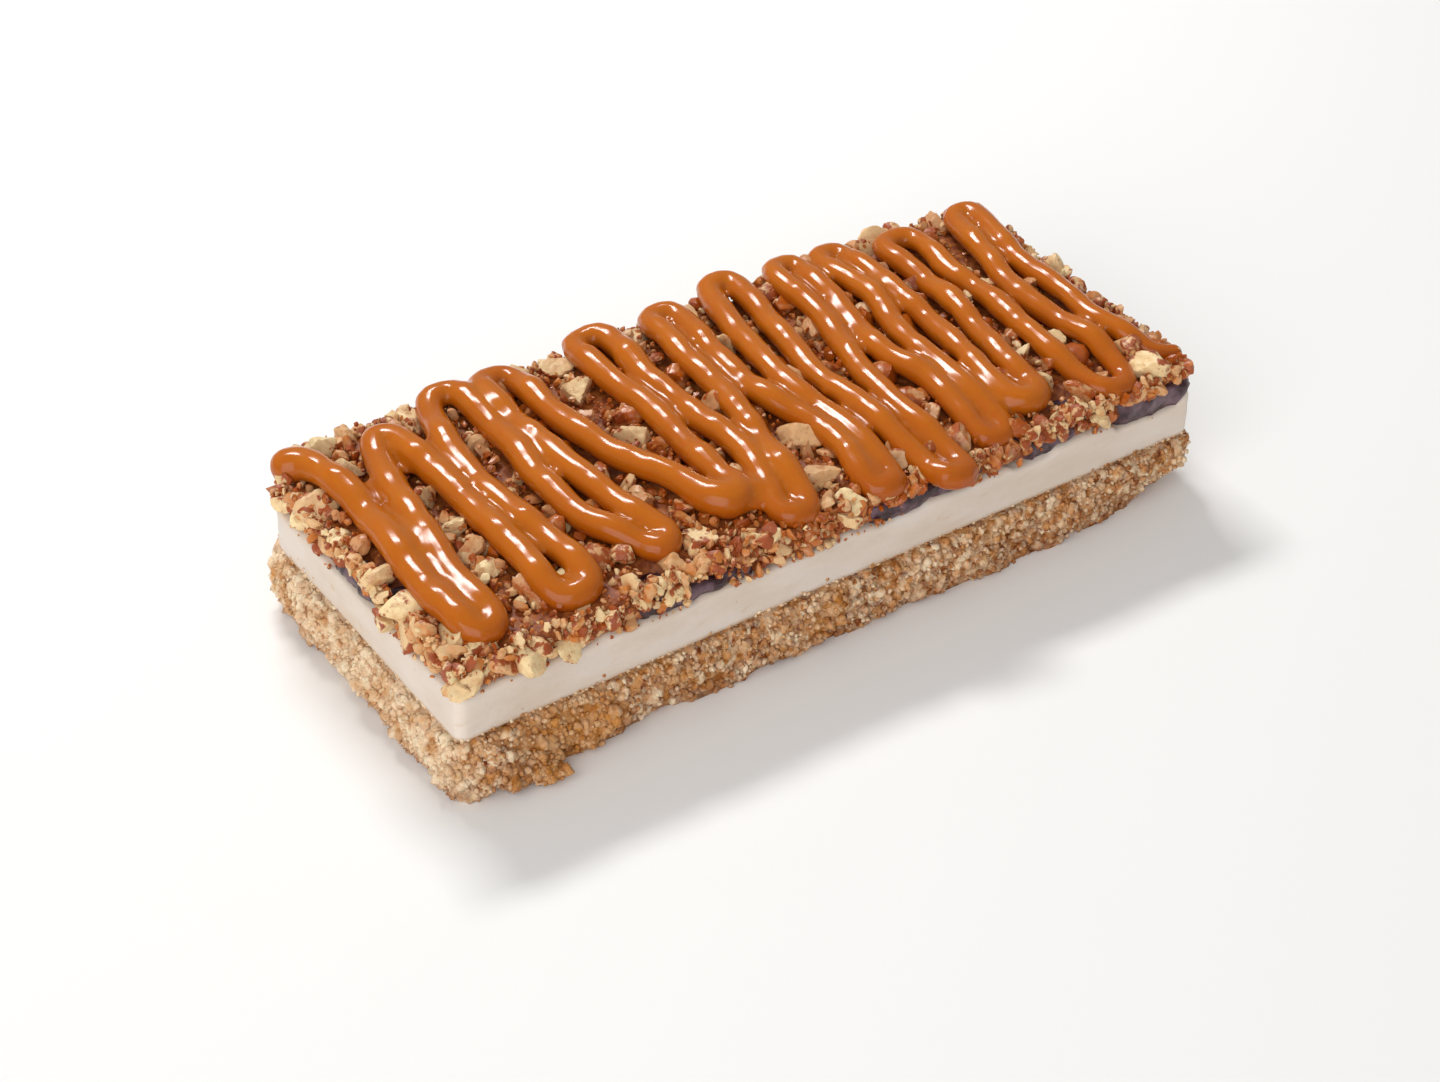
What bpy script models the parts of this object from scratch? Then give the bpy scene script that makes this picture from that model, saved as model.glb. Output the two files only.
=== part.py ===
"""A pecan bar: an oblong slice with a crumb base, a cream layer, a thin layer of chocolate,
and on top chopped pecans under one long zigzag of caramel.

Sizes are in millimetres and become metres when a mesh is made. The origin is the middle of
the flat underside, +X runs along the slice, +Y across it to the back and +Z up.
"""

import math
import random

import bmesh
import bpy
from mathutils import Euler, Vector, noise

MM = 0.001

# How far apart the patterns of the noise layers lie, in x and y
NOISE_SHIFT = (17.3, -9.1)

# The slice as it was cut
LENGTH = 115.0
WIDTH = 49.6
# Near left, near right, far right and far left, seen from above
CORNER_RADII = (1.5, 1.8, 3.0, 6.5)

# Heights above the underside. Layers that touch keep a gap between their meshes
GAP = 0.3
# Facets that meet at less than this angle become one
FLAT_ENOUGH = math.radians(2.0)
# Facets that meet at more than this angle show an edge
SHARP_ANGLE = math.radians(48.0)
BASE_TOP = 8.5
CREAM_TOP = 15.7
CHOCOLATE_TOP = 17.6

# The crumb base: height, and how far it stands out past the cut sides there
BASE_PROFILE = ((0.0, 0.5), (1.8, 1.2), (4.0, 1.6), (6.2, 1.2), (7.9, 0.7), (BASE_TOP, -0.1))
BASE_STEP = 3.2
# The lumps fade out over this height below the cream
LUMP_FADE = 1.5
LUMP_SIZE = 6.0
LUMP_REACH = 1.5
GRIT_SIZE = 2.2
GRIT_REACH = 0.9
UNDERCUT = 2.8
UNDERCUT_SPREAD = 11.0
CRUMB_COUNT = 34
CRUMB_SIZES = (2.2, 3.8)
CRUMB_OUT = 0.9
CRUMB_SEED = 41
# Broken-off crumb at the near left corner: x, y, height of its middle, and size
HEAP_CRUMBS = (
    (-54.2, -25.8, 2.8, 6.4),
    (-51.0, -26.6, 2.4, 6.8),
    (-48.0, -27.4, 1.9, 6.4),
    (-45.8, -28.2, 1.4, 4.6),
    (-45.2, -25.8, 2.0, 4.6),
)

# The cream and the chocolate
CREAM_STEP = 5.0
CREAM_WAVE = 0.35
CREAM_WAVE_SIZE = 13.0
# The chocolate reaches the cut sides only along these stretches, and ends inside elsewhere
CHOCOLATE_STEP = 3.4
CHOCOLATE_INSET = 0.2
CHOCOLATE_WAVE = 0.2
CHOCOLATE_WAVE_SIZE = 4.0
CHOCOLATE_SHORT = 2.4
CHOCOLATE_EASE = 2.5
FRONT_SHOWS = ((-33.0, -13.0), (2.0, 23.0), (27.5, 38.5), (43.0, 60.0))
BACK_SHOWS = ((-60.0, -38.0), (-20.0, 4.0), (18.0, 44.0))
LEFT_SHOWS = ((-6.0, 7.0),)
RIGHT_SHOWS = ((-26.0, -8.0), (4.0, 15.0))

# The bed of fine nut under the larger pieces
BED_TOP = 19.2
BED_STEP = 8.0
BED_INSET = 0.9
BED_WAVE = 0.5
BED_WAVE_SIZE = 7.0

# Chopped pecans. The large ones: x, y, height of the middle, and length
LARGE_PIECES = (
    (-54.8, 13.2, 19.0, 5.8),
    (-55.0, 6.3, 19.2, 4.6),
    (-55.4, -10.2, 18.6, 6.8),
    (-53.4, -17.3, 19.4, 6.6),
    (-51.6, -21.4, 19.0, 5.4),
    (-46.8, -24.8, 17.4, 5.8),
    (-42.6, -16.6, 19.6, 6.0),
    (-40.2, -24.0, 17.6, 4.6),
    (-48.4, 16.3, 20.0, 4.2),
    (-43.8, 6.1, 19.8, 5.2),
    (-43.2, -1.1, 19.8, 4.2),
    (-35.6, 22.0, 19.4, 5.4),
    (-31.2, -22.6, 18.4, 4.6),
    (-31.1, 3.7, 19.9, 5.4),
    (-27.8, -10.8, 19.8, 4.5),
    (-18.0, -12.9, 19.8, 4.8),
    (-18.2, -18.4, 19.2, 5.0),
    (-13.6, -22.4, 18.9, 5.0),
    (-15.5, 14.8, 20.0, 7.0),
    (-14.3, 22.4, 19.8, 6.0),
    (-11.8, 8.0, 19.8, 4.8),
    (-14.8, 2.9, 19.8, 5.0),
    (-2.5, 11.1, 20.0, 6.0),
    (-2.0, 2.3, 19.8, 5.8),
    (-1.4, 22.0, 19.6, 4.2),
    (2.2, -9.5, 19.9, 6.0),
    (0.4, -17.2, 19.6, 5.4),
    (0.6, -22.2, 18.9, 5.2),
    (10.6, -18.9, 19.5, 4.6),
    (12.3, -22.7, 19.0, 4.4),
    (12.0, -6.5, 19.8, 4.0),
    (18.9, 16.5, 20.0, 4.6),
    (19.3, 9.9, 19.9, 4.8),
    (27.3, 9.7, 19.8, 4.0),
    (37.2, -23.4, 19.0, 5.6),
    (39.8, -21.0, 19.8, 4.8),
    (40.2, -14.1, 19.8, 4.2),
    (40.1, -6.2, 19.8, 3.8),
    (48.8, 22.0, 19.8, 5.6),
    (51.8, -22.4, 19.5, 8.0),
    (55.0, -11.9, 19.8, 5.6),
    (-42.8, -25.2, 17.0, 4.4),
    (-57.0, -8.6, 16.6, 4.8),
)
# The rest are strewn between the strands: how many, and the longest and shortest
STREWN_COUNT = 84
STREWN_SIZES = (5.6, 3.4)
STREWN_MIDDLE = 19.8
STREWN_TRIES = 90
# How near two pieces lie, as a share of their lengths, and how near a piece lies to the caramel
STREWN_CROWDING = 0.42
STREWN_CLEAR = 1.6
HANG_OVER = 0.5
TOPPING_SEED = 7
# Pieces that hang over the cut sides where the chocolate ends inside: spacing, height, size
EDGE_STEP = 5.0
EDGE_MIDDLE = 17.6
EDGE_SIZES = (3.6, 5.2)
EDGE_OUT = -0.7
EDGE_UNEVEN = 0.4
# Width and height of a piece, as shares of its length, and how many corners it has
PIECE_WIDTH = (0.62, 0.85)
PIECE_HEIGHT = (0.5, 0.68)
PIECE_CORNERS = 12
# How far a piece tips from lying flat, in radians, and how uneven its corners are
PIECE_TILT = 0.35
CORNER_REACH = (0.82, 1.0)
CORNER_TURN = 0.4
GOLDEN_ANGLE = math.pi * (3.0 - math.sqrt(5.0))

# The caramel, poured in one go. Its turns along the back and along the front: x, y and how far
# the strands on both sides of the turn run from its middle
BACK_TURNS = (
    (-54.4, 20.6, 1.6), (-42.7, 18.9, 1.6), (-31.5, 23.0, 2.4), (-23.6, 22.8, 2.4),
    (-8.5, 24.0, 2.3), (2.9, 23.3, 2.0), (13.6, 25.0, 2.2), (23.5, 23.8, 2.0),
    (31.0, 23.3, 1.9), (40.9, 20.9, 2.5), (52.8, 21.2, 1.7),
)
FRONT_TURNS = (
    (-50.6, -20.3, 1.8), (-37.9, -20.4, 2.3), (-24.5, -18.6, 1.6), (-12.6, -16.0, 1.9),
    (-6.2, -22.0, 1.9), (6.4, -23.3, 1.7), (15.2, -26.2, 1.9), (24.9, -22.3, 1.8),
    (32.5, -19.5, 2.1), (45.0, -22.5, 2.7), (56.6, -20.4, 2.6),
)
# Where each of its strands crosses y = 10, 0 and -10, taken in the order they were poured
CROSSINGS = (10.0, 0.0, -10.0)
STRANDS = (
    (-51.4, -52.0, -52.8), (-46.2, -47.6, -48.9), (-40.4, -40.2, -40.3), (-36.7, -36.9, -35.7),
    (-29.2, -30.2, -29.6), (-26.3, -25.9, -24.6), (-21.2, -19.5, -16.0), (-10.6, -10.4, -11.0),
    (-6.5, -6.1, -5.7), (-0.1, -0.9, -2.8), (3.6, 3.4, 6.0), (8.7, 7.5, 8.7),
    (13.7, 12.2, 12.9), (21.0, 18.4, 17.0), (24.2, 22.5, 24.0), (29.4, 27.1, 26.8),
    (32.8, 32.4, 30.8), (38.3, 37.4, 35.3), (42.5, 42.6, 41.7), (48.8, 47.0, 47.9),
    (52.6, 52.2, 51.8),
)
LOOP_DEPTH = 1.8
# Radius of the strand at the left end and at the right end, where it was poured faster
STRAND_RADII = (2.25, 1.95)
STRAND_FLATNESS = 0.88
# The strand's section: sides over its rounded top, and its foot, sunk into the nuts
STRAND_TOP_SIDES = 4
STRAND_FOOT = 18.7
STRAND_FOOT_WIDTH = 0.75
# A rounded end goes on past the turn by a share of the radius and shrinks to a share of it,
# and a strand that ends inside another is this much thinner there
END_PUSH = 0.75
END_SHRINK = 0.62
JOIN_SHRINK = 0.75
STRAND_PIECES = (1, 1, 2, 2, 1, 1)
FINE_PIECES = (3, 8, 10, 10, 8, 3)
# Turns where it ran together into a blob: number of the turn along the front, and how much fatter
BLOBS = {3: 1.35, 8: 1.25}
TAIL_RADIUS = 1.3
STRAND_UNEVEN = 0.1
# Height of the strand's middle on the nuts, and how it sinks towards the front and back edges
STRAND_HEIGHT = 21.6
FRONT_SINK = (-12.0, -23.0, 1.5)
BACK_SINK = (17.0, 23.0, 0.5)


def shade(name, colour, roughness):
    """A plain food surface of one linear colour."""
    material = bpy.data.materials.new(name)
    material.use_nodes = True
    surface = material.node_tree.nodes["Principled BSDF"]
    surface.inputs["Base Color"].default_value = (*colour, 1.0)
    surface.inputs["Roughness"].default_value = roughness
    surface.inputs["Metallic"].default_value = 0.0
    return material


def wave(x, y, z, size, number):
    """Smooth noise between about -1 and 1. Each number gives another pattern."""
    shift = Vector((*NOISE_SHIFT, 0.0)) * number
    return noise.noise(Vector((x, y, z)) / size + shift)


def ease(start, end, value):
    """0 at start and 1 at end, with a soft step between."""
    t = min(max((value - start) / (end - start), 0.0), 1.0)
    return t * t * (3.0 - 2.0 * t)


def cut_outline(step):
    """Points round the cut slice, anticlockwise, each with the way it faces: (x, y, nx, ny)."""
    half = (LENGTH / 2.0, WIDTH / 2.0)
    signs = ((-1, -1), (1, -1), (1, 1), (-1, 1))
    points = []
    for corner, ((sx, sy), radius) in enumerate(zip(signs, CORNER_RADII)):
        middle = (sx * (half[0] - radius), sy * (half[1] - radius))
        arcs = max(2, round(radius * math.pi / 2.0 / step))
        for i in range(arcs + 1):
            angle = math.pi * (1.0 + corner / 2.0) + math.pi / 2.0 * i / arcs
            nx, ny = math.cos(angle), math.sin(angle)
            points.append((middle[0] + radius * nx, middle[1] + radius * ny, nx, ny))
        sx, sy = signs[(corner + 1) % 4]
        radius = CORNER_RADII[(corner + 1) % 4]
        x, y, nx, ny = points[-1]
        along = (-ny, nx)
        ahead = (sx * (half[0] - radius) - x) * along[0] + (sy * (half[1] - radius) - y) * along[1]
        pieces = max(1, round(ahead / step))
        for i in range(1, pieces):
            run = ahead * i / pieces
            points.append((x + along[0] * run, y + along[1] * run, nx, ny))
    return points


def ring(outline, z, reach):
    """One level of a layer: the outline pushed out by reach(x, y, nx, ny) at height z."""
    level = []
    for x, y, nx, ny in outline:
        out = reach(x, y, nx, ny)
        level.append((x + nx * out, y + ny * out, z))
    return level


def layer(name, rings, material):
    """A closed solid through the rings, from the lowest up, with flat ends."""
    count = len(rings[0])
    verts = [Vector(point) * MM for level in rings for point in level]
    faces = [tuple(reversed(range(count)))]
    for low in range(0, count * (len(rings) - 1), count):
        for i in range(count):
            j = (i + 1) % count
            faces.append((low + i, low + j, low + count + j, low + count + i))
    faces.append(tuple(range(len(verts) - count, len(verts))))
    return solid(name, verts, faces, material)


def solid(name, verts, faces, material, collection=None):
    mesh = bpy.data.meshes.new(name)
    mesh.from_pydata(verts, [], faces)
    mesh.materials.append(material)
    mesh.update()
    thing = bpy.data.objects.new(name, mesh)
    (collection or bpy.context.scene.collection).objects.link(thing)
    return thing


def broken_piece(rng, length):
    """Corners of a broken lump: points on a squashed ball, turned at random, mostly lying flat."""
    width = length * rng.uniform(*PIECE_WIDTH)
    height = length * rng.uniform(*PIECE_HEIGHT)
    tilts = (rng.gauss(0.0, PIECE_TILT), rng.gauss(0.0, PIECE_TILT))
    turn = Euler((*tilts, rng.uniform(0.0, 2.0 * math.pi)))
    corners = []
    for i in range(PIECE_CORNERS):
        z = 1.0 - 2.0 * (i + 0.5) / PIECE_CORNERS
        angle = i * GOLDEN_ANGLE + rng.uniform(-CORNER_TURN, CORNER_TURN)
        across = math.sqrt(1.0 - z * z)
        size = rng.uniform(*CORNER_REACH) / 2.0
        corner = Vector((across * math.cos(angle) * length, across * math.sin(angle) * width, z * height))
        corner.rotate(turn)
        corners.append(corner * size)
    return corners


def hull(name, corners, middle, material, collection, lowest=None):
    """The convex solid round the corners, placed at middle and lifted to stay above lowest."""
    middle = Vector(middle)
    if lowest is not None:
        middle.z += max(0.0, lowest - middle.z - min(corner.z for corner in corners))
    shape = bmesh.new()
    for corner in corners:
        shape.verts.new((middle + corner) * MM)
    made = bmesh.ops.convex_hull(shape, input=shape.verts)
    loose = {v for v in made["geom_interior"] if isinstance(v, bmesh.types.BMVert)}
    bmesh.ops.delete(shape, geom=list(loose), context="VERTS")
    bmesh.ops.recalc_face_normals(shape, faces=shape.faces)
    mesh = bpy.data.meshes.new(name)
    shape.to_mesh(mesh)
    shape.free()
    mesh.materials.append(material)
    thing = bpy.data.objects.new(name, mesh)
    collection.objects.link(thing)
    return thing


def combine(thing, collection, operation, solver):
    """Joins a collection to the thing or cuts it away, and keeps only the one main body."""
    boolean = thing.modifiers.new("combine", "BOOLEAN")
    boolean.operation = operation
    boolean.operand_type = "COLLECTION"
    boolean.collection = collection
    boolean.solver = solver
    graph = bpy.context.evaluated_depsgraph_get()
    mesh = bpy.data.meshes.new_from_object(thing.evaluated_get(graph))
    thing.modifiers.clear()
    thing.data = mesh
    for other in list(collection.objects):
        bpy.data.objects.remove(other)
    bpy.data.collections.remove(collection)
    keep_main_body(mesh)


def keep_main_body(mesh):
    """Drops loose scraps and the walls of sealed hollows, which are bodies apart from the main
    one, and makes facets that are nearly in one plane into one."""
    shape = bmesh.new()
    shape.from_mesh(mesh)
    seen = set()
    bodies = []
    for start in shape.verts:
        if start in seen:
            continue
        seen.add(start)
        body = [start]
        for vert in body:
            for edge in vert.link_edges:
                other = edge.other_vert(vert)
                if other not in seen:
                    seen.add(other)
                    body.append(other)
        bodies.append(body)
    main = max(bodies, key=len)
    scraps = [vert for body in bodies if body is not main for vert in body]
    bmesh.ops.delete(shape, geom=scraps, context="VERTS")
    bmesh.ops.dissolve_limit(shape, angle_limit=FLAT_ENOUGH, verts=shape.verts, edges=shape.edges)
    bmesh.ops.triangulate(shape, faces=shape.faces)
    shape.to_mesh(mesh)
    shape.free()


def shade_round(thing):
    """Smooth over the gentle bends of the caramel, with the edges of broken pieces left sharp."""
    thing.data.shade_smooth()
    thing.data.set_sharp_from_angle(angle=SHARP_ANGLE)


def new_collection(name):
    collection = bpy.data.collections.new(name)
    bpy.context.scene.collection.children.link(collection)
    return collection


def base_point(x, y, nx, ny, z, overhang):
    """Where the crumb base's side runs at height z: past the cut side, with lumps and grit,
    and drawn in towards the middle at the near right corner, which broke away below."""
    rough = ease(BASE_TOP, BASE_TOP - LUMP_FADE, z)
    lumps = LUMP_REACH * wave(x, y, z, LUMP_SIZE, 1) + GRIT_REACH * wave(x, y, z, GRIT_SIZE, 2)
    out = overhang + rough * lumps
    apart = math.hypot(x - LENGTH / 2.0, y + WIDTH / 2.0)
    inward = UNDERCUT * math.exp(-((apart / UNDERCUT_SPREAD) ** 2)) * ease(BASE_TOP, 0.0, z)
    return (x + nx * out - inward, y + ny * out + inward, z)


def make_base(material):
    outline = cut_outline(BASE_STEP)
    rings = [[base_point(*spot, z, out) for spot in outline] for z, out in BASE_PROFILE]
    base = layer("crumb_base", rings, material)
    rng = random.Random(CRUMB_SEED)
    crumbs = new_collection("crumbs")
    for x, y, z, size in HEAP_CRUMBS:
        hull("crumb", broken_piece(rng, size), (x, y, z), material, crumbs, lowest=0.0)
    for _ in range(CRUMB_COUNT):
        spot = rng.choice(outline)
        size = rng.uniform(*CRUMB_SIZES)
        z = rng.uniform(size * 0.4, BASE_TOP - size * 0.5 - GAP)
        middle = base_point(*spot, z, CRUMB_OUT)
        hull("crumb", broken_piece(rng, size), middle, material, crumbs, lowest=0.0)
    combine(base, crumbs, "UNION", "MANIFOLD")
    shade_round(base)
    return base


def cream_reach(z):
    def reach(x, y, nx, ny):
        return CREAM_WAVE * (wave(x, y, z, CREAM_WAVE_SIZE, 3) - 1.0) / 2.0

    return reach


def make_cream(material):
    outline = cut_outline(CREAM_STEP)
    low, high = BASE_TOP + GAP, CREAM_TOP
    return layer("cream_layer", [ring(outline, z, cream_reach(z)) for z in (low, high)], material)


def chocolate_reach(x, y, nx, ny):
    """Just inside the cut side where the chocolate shows, and well inside where nuts hide it."""
    if abs(ny) > abs(nx):
        along, stretches = x, FRONT_SHOWS if ny < 0.0 else BACK_SHOWS
    else:
        along, stretches = y, LEFT_SHOWS if nx < 0.0 else RIGHT_SHOWS
    shown = 0.0
    for start, end in stretches:
        here = ease(start, start + CHOCOLATE_EASE, along) * ease(end, end - CHOCOLATE_EASE, along)
        shown = max(shown, here)
    uneven = CHOCOLATE_WAVE * wave(x, y, 0.0, CHOCOLATE_WAVE_SIZE, 4)
    return uneven - CHOCOLATE_INSET - CHOCOLATE_SHORT * (1.0 - shown)


def make_chocolate(material):
    outline = cut_outline(CHOCOLATE_STEP)
    levels = (CREAM_TOP + GAP, CHOCOLATE_TOP)
    return layer("chocolate_layer", [ring(outline, z, chocolate_reach) for z in levels], material)


def strand_height(y):
    """Height of the middle of the caramel, which sinks over the edges of the nuts."""
    front = FRONT_SINK[2] * ease(FRONT_SINK[0], FRONT_SINK[1], y)
    back = BACK_SINK[2] * ease(BACK_SINK[0], BACK_SINK[1], y)
    return STRAND_HEIGHT - front - back


def route_guides():
    """Guide points of the whole pour: a turn, a shoulder, three crossings, a shoulder, a turn..."""
    guides = [BACK_TURNS[0][:2]]
    for number, crossings in enumerate(STRANDS):
        to_front = number % 2 == 0
        side = 1.0 if to_front else -1.0
        back_x, back_y, back_half = BACK_TURNS[(number + 1) // 2]
        front_x, front_y, front_half = FRONT_TURNS[number // 2]
        strand = [(back_x + side * back_half, back_y - LOOP_DEPTH), *zip(crossings, CROSSINGS)]
        strand.append((front_x - side * front_half, front_y + LOOP_DEPTH))
        guides += [*strand, (front_x, front_y)] if to_front else [*strand[::-1], (back_x, back_y)]
    return guides


def curve_spans(guides, pieces):
    """A smooth curve through guide points: for each span the points that divide it, but its first."""
    spots = [Vector(guide) for guide in guides]
    spots = [2 * spots[0] - spots[1], *spots, 2 * spots[-1] - spots[-2]]
    spans = []
    for number, (a, b, c, d) in enumerate(zip(spots, spots[1:], spots[2:], spots[3:])):
        count = pieces[number % len(pieces)]
        span = []
        for t in (i / count for i in range(1, count + 1)):
            bend = 2 * b + (c - a) * t + (2 * a - 5 * b + 4 * c - d) * t * t
            span.append((bend + (3 * b - a - 3 * c + d) * t * t * t) / 2.0)
        spans.append(span)
    return spans


def strand_paths(pieces):
    """The pour as one path for each strand, turn to turn, with its spans divided into pieces."""
    guides = route_guides()
    spans = curve_spans(guides, pieces)
    paths = []
    start = Vector(guides[0])
    for first in range(0, len(spans), len(pieces)):
        path = [start]
        for span in spans[first:first + len(pieces)]:
            path += span
        paths.append(path)
        start = path[-1]
    return paths


def strand_radius(number, share, x):
    """The strand's radius along its length: a little uneven, fat at the blobs, thin at the tail."""
    radius = STRAND_RADII[0] + (STRAND_RADII[1] - STRAND_RADII[0]) * (x / LENGTH + 0.5)
    radius *= 1.0 + STRAND_UNEVEN * wave(number * 3.1, share * 4.0, 0.0, 1.0, 5)
    at_front = share if number % 2 == 0 else 1.0 - share
    radius *= 1.0 + (BLOBS.get(number // 2, 1.0) - 1.0) * ease(0.75, 0.95, at_front)
    if number == len(STRANDS) - 1:
        radius += (TAIL_RADIUS - radius) * ease(0.8, 1.0, share)
    return radius


def make_strand(number, path, material, collection):
    """One strand: a round-topped ridge whose foot is sunk into the nuts. Each strand poured
    towards the front has rounded ends, and those poured back end inside them."""
    last = len(path) - 1
    if number % 2 == 0:
        ends = ((0, -END_PUSH, END_SHRINK), (last, END_PUSH, END_SHRINK))
        stations = [ends[0], *((i, 0.0, 1.0) for i in range(last + 1)), ends[1]]
    else:
        stations = [(i, 0.0, JOIN_SHRINK if i in (0, last) else 1.0) for i in range(last + 1)]
    verts = []
    for i, push, shrink in stations:
        ahead = (path[min(i + 1, last)] - path[max(i - 1, 0)]).normalized()
        radius = strand_radius(number, i / last, path[i].x)
        spot = path[i] + ahead * push * radius
        section = [(-STRAND_FOOT_WIDTH * radius * shrink, STRAND_FOOT)]
        for side in range(STRAND_TOP_SIDES + 1):
            angle = math.pi * (1.0 - side / STRAND_TOP_SIDES)
            up = math.sin(angle) * radius * shrink * STRAND_FLATNESS
            section.append((math.cos(angle) * radius * shrink, strand_height(spot.y) + up))
        section.append((STRAND_FOOT_WIDTH * radius * shrink, STRAND_FOOT))
        for out, z in section:
            verts.append(Vector((spot.x + ahead.y * out, spot.y - ahead.x * out, z)) * MM)
    count = STRAND_TOP_SIDES + 3
    faces = [tuple(reversed(range(count)))]
    for low in range(0, len(verts) - count, count):
        for side in range(count):
            nxt = (side + 1) % count
            faces.append((low + side, low + nxt, low + count + nxt, low + count + side))
    faces.append(tuple(range(len(verts) - count, len(verts))))
    solid("strand", verts, faces, material, collection)


def strewn_places(rng, route):
    """Places for the smaller pieces, apart from the large ones, from each other and not under caramel."""
    taken = [(x, y, size) for x, y, _, size in LARGE_PIECES]
    places = []
    for number in range(STREWN_COUNT):
        share = number / (STREWN_COUNT - 1)
        size = STREWN_SIZES[0] + (STREWN_SIZES[1] - STREWN_SIZES[0]) * share
        for _ in range(STREWN_TRIES):
            x = rng.uniform(-1.0, 1.0) * (LENGTH / 2.0 + HANG_OVER - size * 0.35)
            y = rng.uniform(-1.0, 1.0) * (WIDTH / 2.0 + HANG_OVER - size * 0.35)
            covered = any(math.hypot(x - p.x, y - p.y) < STREWN_CLEAR for p in route)
            crowded = any(
                math.hypot(x - u, y - v) < STREWN_CROWDING * (size + other) for u, v, other in taken
            )
            if not covered and not crowded:
                taken.append((x, y, size))
                places.append((x, y, STREWN_MIDDLE, size))
                break
    return places


def edge_places(rng):
    """Places for the pieces that hang over the cut sides, where the chocolate ends inside."""
    places = []
    for x, y, nx, ny in cut_outline(EDGE_STEP):
        if chocolate_reach(x, y, nx, ny) < -CHOCOLATE_SHORT * 0.7:
            out = EDGE_OUT + rng.uniform(-EDGE_UNEVEN, EDGE_UNEVEN)
            z = EDGE_MIDDLE + rng.uniform(-EDGE_UNEVEN, EDGE_UNEVEN)
            places.append((x + nx * out, y + ny * out, z, rng.uniform(*EDGE_SIZES)))
    return places


def make_bed(material):
    """The thin bed of fine nut that the larger pieces sit in: a low mound with a wavy top."""
    columns = round((LENGTH - 2.0 * BED_INSET) / BED_STEP)
    rows = round((WIDTH - 2.0 * BED_INSET) / BED_STEP)
    bottom = CREAM_TOP
    verts = []
    for z_top in (False, True):
        for j in range(rows + 1):
            for i in range(columns + 1):
                x = (i / columns - 0.5) * (LENGTH - 2.0 * BED_INSET)
                y = (j / rows - 0.5) * (WIDTH - 2.0 * BED_INSET)
                if (i, j) == (0, rows):
                    x, y = x + CORNER_RADII[3] * 0.3, y - CORNER_RADII[3] * 0.3
                z = BED_TOP + BED_WAVE * wave(x, y, 0.0, BED_WAVE_SIZE, 6) if z_top else bottom
                verts.append(Vector((x, y, z)) * MM)
    wide = columns + 1
    top = wide * (rows + 1)
    rim = [*range(columns)] + [columns + j * wide for j in range(rows)]
    rim += [rows * wide + i for i in range(columns, 0, -1)] + [j * wide for j in range(rows, 0, -1)]
    faces = [tuple(reversed(rim))]
    for j in range(rows):
        for i in range(columns):
            a = top + j * wide + i
            faces.append((a, a + 1, a + wide + 1, a + wide))
    for a, b in zip(rim, rim[1:] + rim[:1]):
        faces.append((a, b, top + b, top + a))
    bed = solid("pecan_topping", verts, faces, material)
    shape = bmesh.new()
    shape.from_mesh(bed.data)
    loose = [v for v in shape.verts if not v.link_faces]
    bmesh.ops.delete(shape, geom=loose, context="VERTS")
    shape.to_mesh(bed.data)
    shape.free()
    return bed


def make_topping(nut, caramel):
    bed = make_bed(nut)
    bed.data.materials.append(caramel)
    rng = random.Random(TOPPING_SEED)
    pieces = new_collection("pieces")
    route = []
    for number, path in enumerate(strand_paths(STRAND_PIECES)):
        make_strand(number, path, caramel, pieces)
    for path in strand_paths(FINE_PIECES):
        route += path
    for x, y, z, size in [*LARGE_PIECES, *strewn_places(rng, route), *edge_places(rng)]:
        hull("piece", broken_piece(rng, size), (x, y, z), nut, pieces)
    combine(bed, pieces, "UNION", "MANIFOLD")

    cuts = new_collection("cuts")
    room = layer("room_for_cream", [ring(cut_outline(CREAM_STEP), z, lambda *_: GAP)
                 for z in (BASE_TOP, CREAM_TOP + GAP)], nut)
    outline = cut_outline(CHOCOLATE_STEP)
    cover = layer("room_for_chocolate", [ring(outline, z, lambda *p: chocolate_reach(*p) + GAP)
                  for z in (CREAM_TOP, CHOCOLATE_TOP + GAP)], nut)
    for cutter in (room, cover):
        bpy.context.scene.collection.objects.unlink(cutter)
        cuts.objects.link(cutter)
    combine(bed, cuts, "DIFFERENCE", "MANIFOLD")
    shade_round(bed)
    return bed


for old in list(bpy.data.objects):
    bpy.data.objects.remove(old)

make_base(shade("baked crumb", (0.42, 0.24, 0.10), 0.85))
make_cream(shade("set cream", (0.78, 0.70, 0.60), 0.45))
make_chocolate(shade("dark chocolate", (0.06, 0.03, 0.03), 0.35))
make_topping(shade("chopped pecan", (0.45, 0.27, 0.13), 0.7), shade("caramel", (0.55, 0.14, 0.01), 0.15))
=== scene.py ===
"""A pecan bar: a baked crumb base, set cream, a thin layer of chocolate, chopped pecans and one
long zigzag of caramel. Sizes are in millimetres and become metres when a mesh is made."""

import math
import random

import bmesh
import bpy
import numpy as np
from mathutils import Euler, Matrix, Vector, noise


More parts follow.
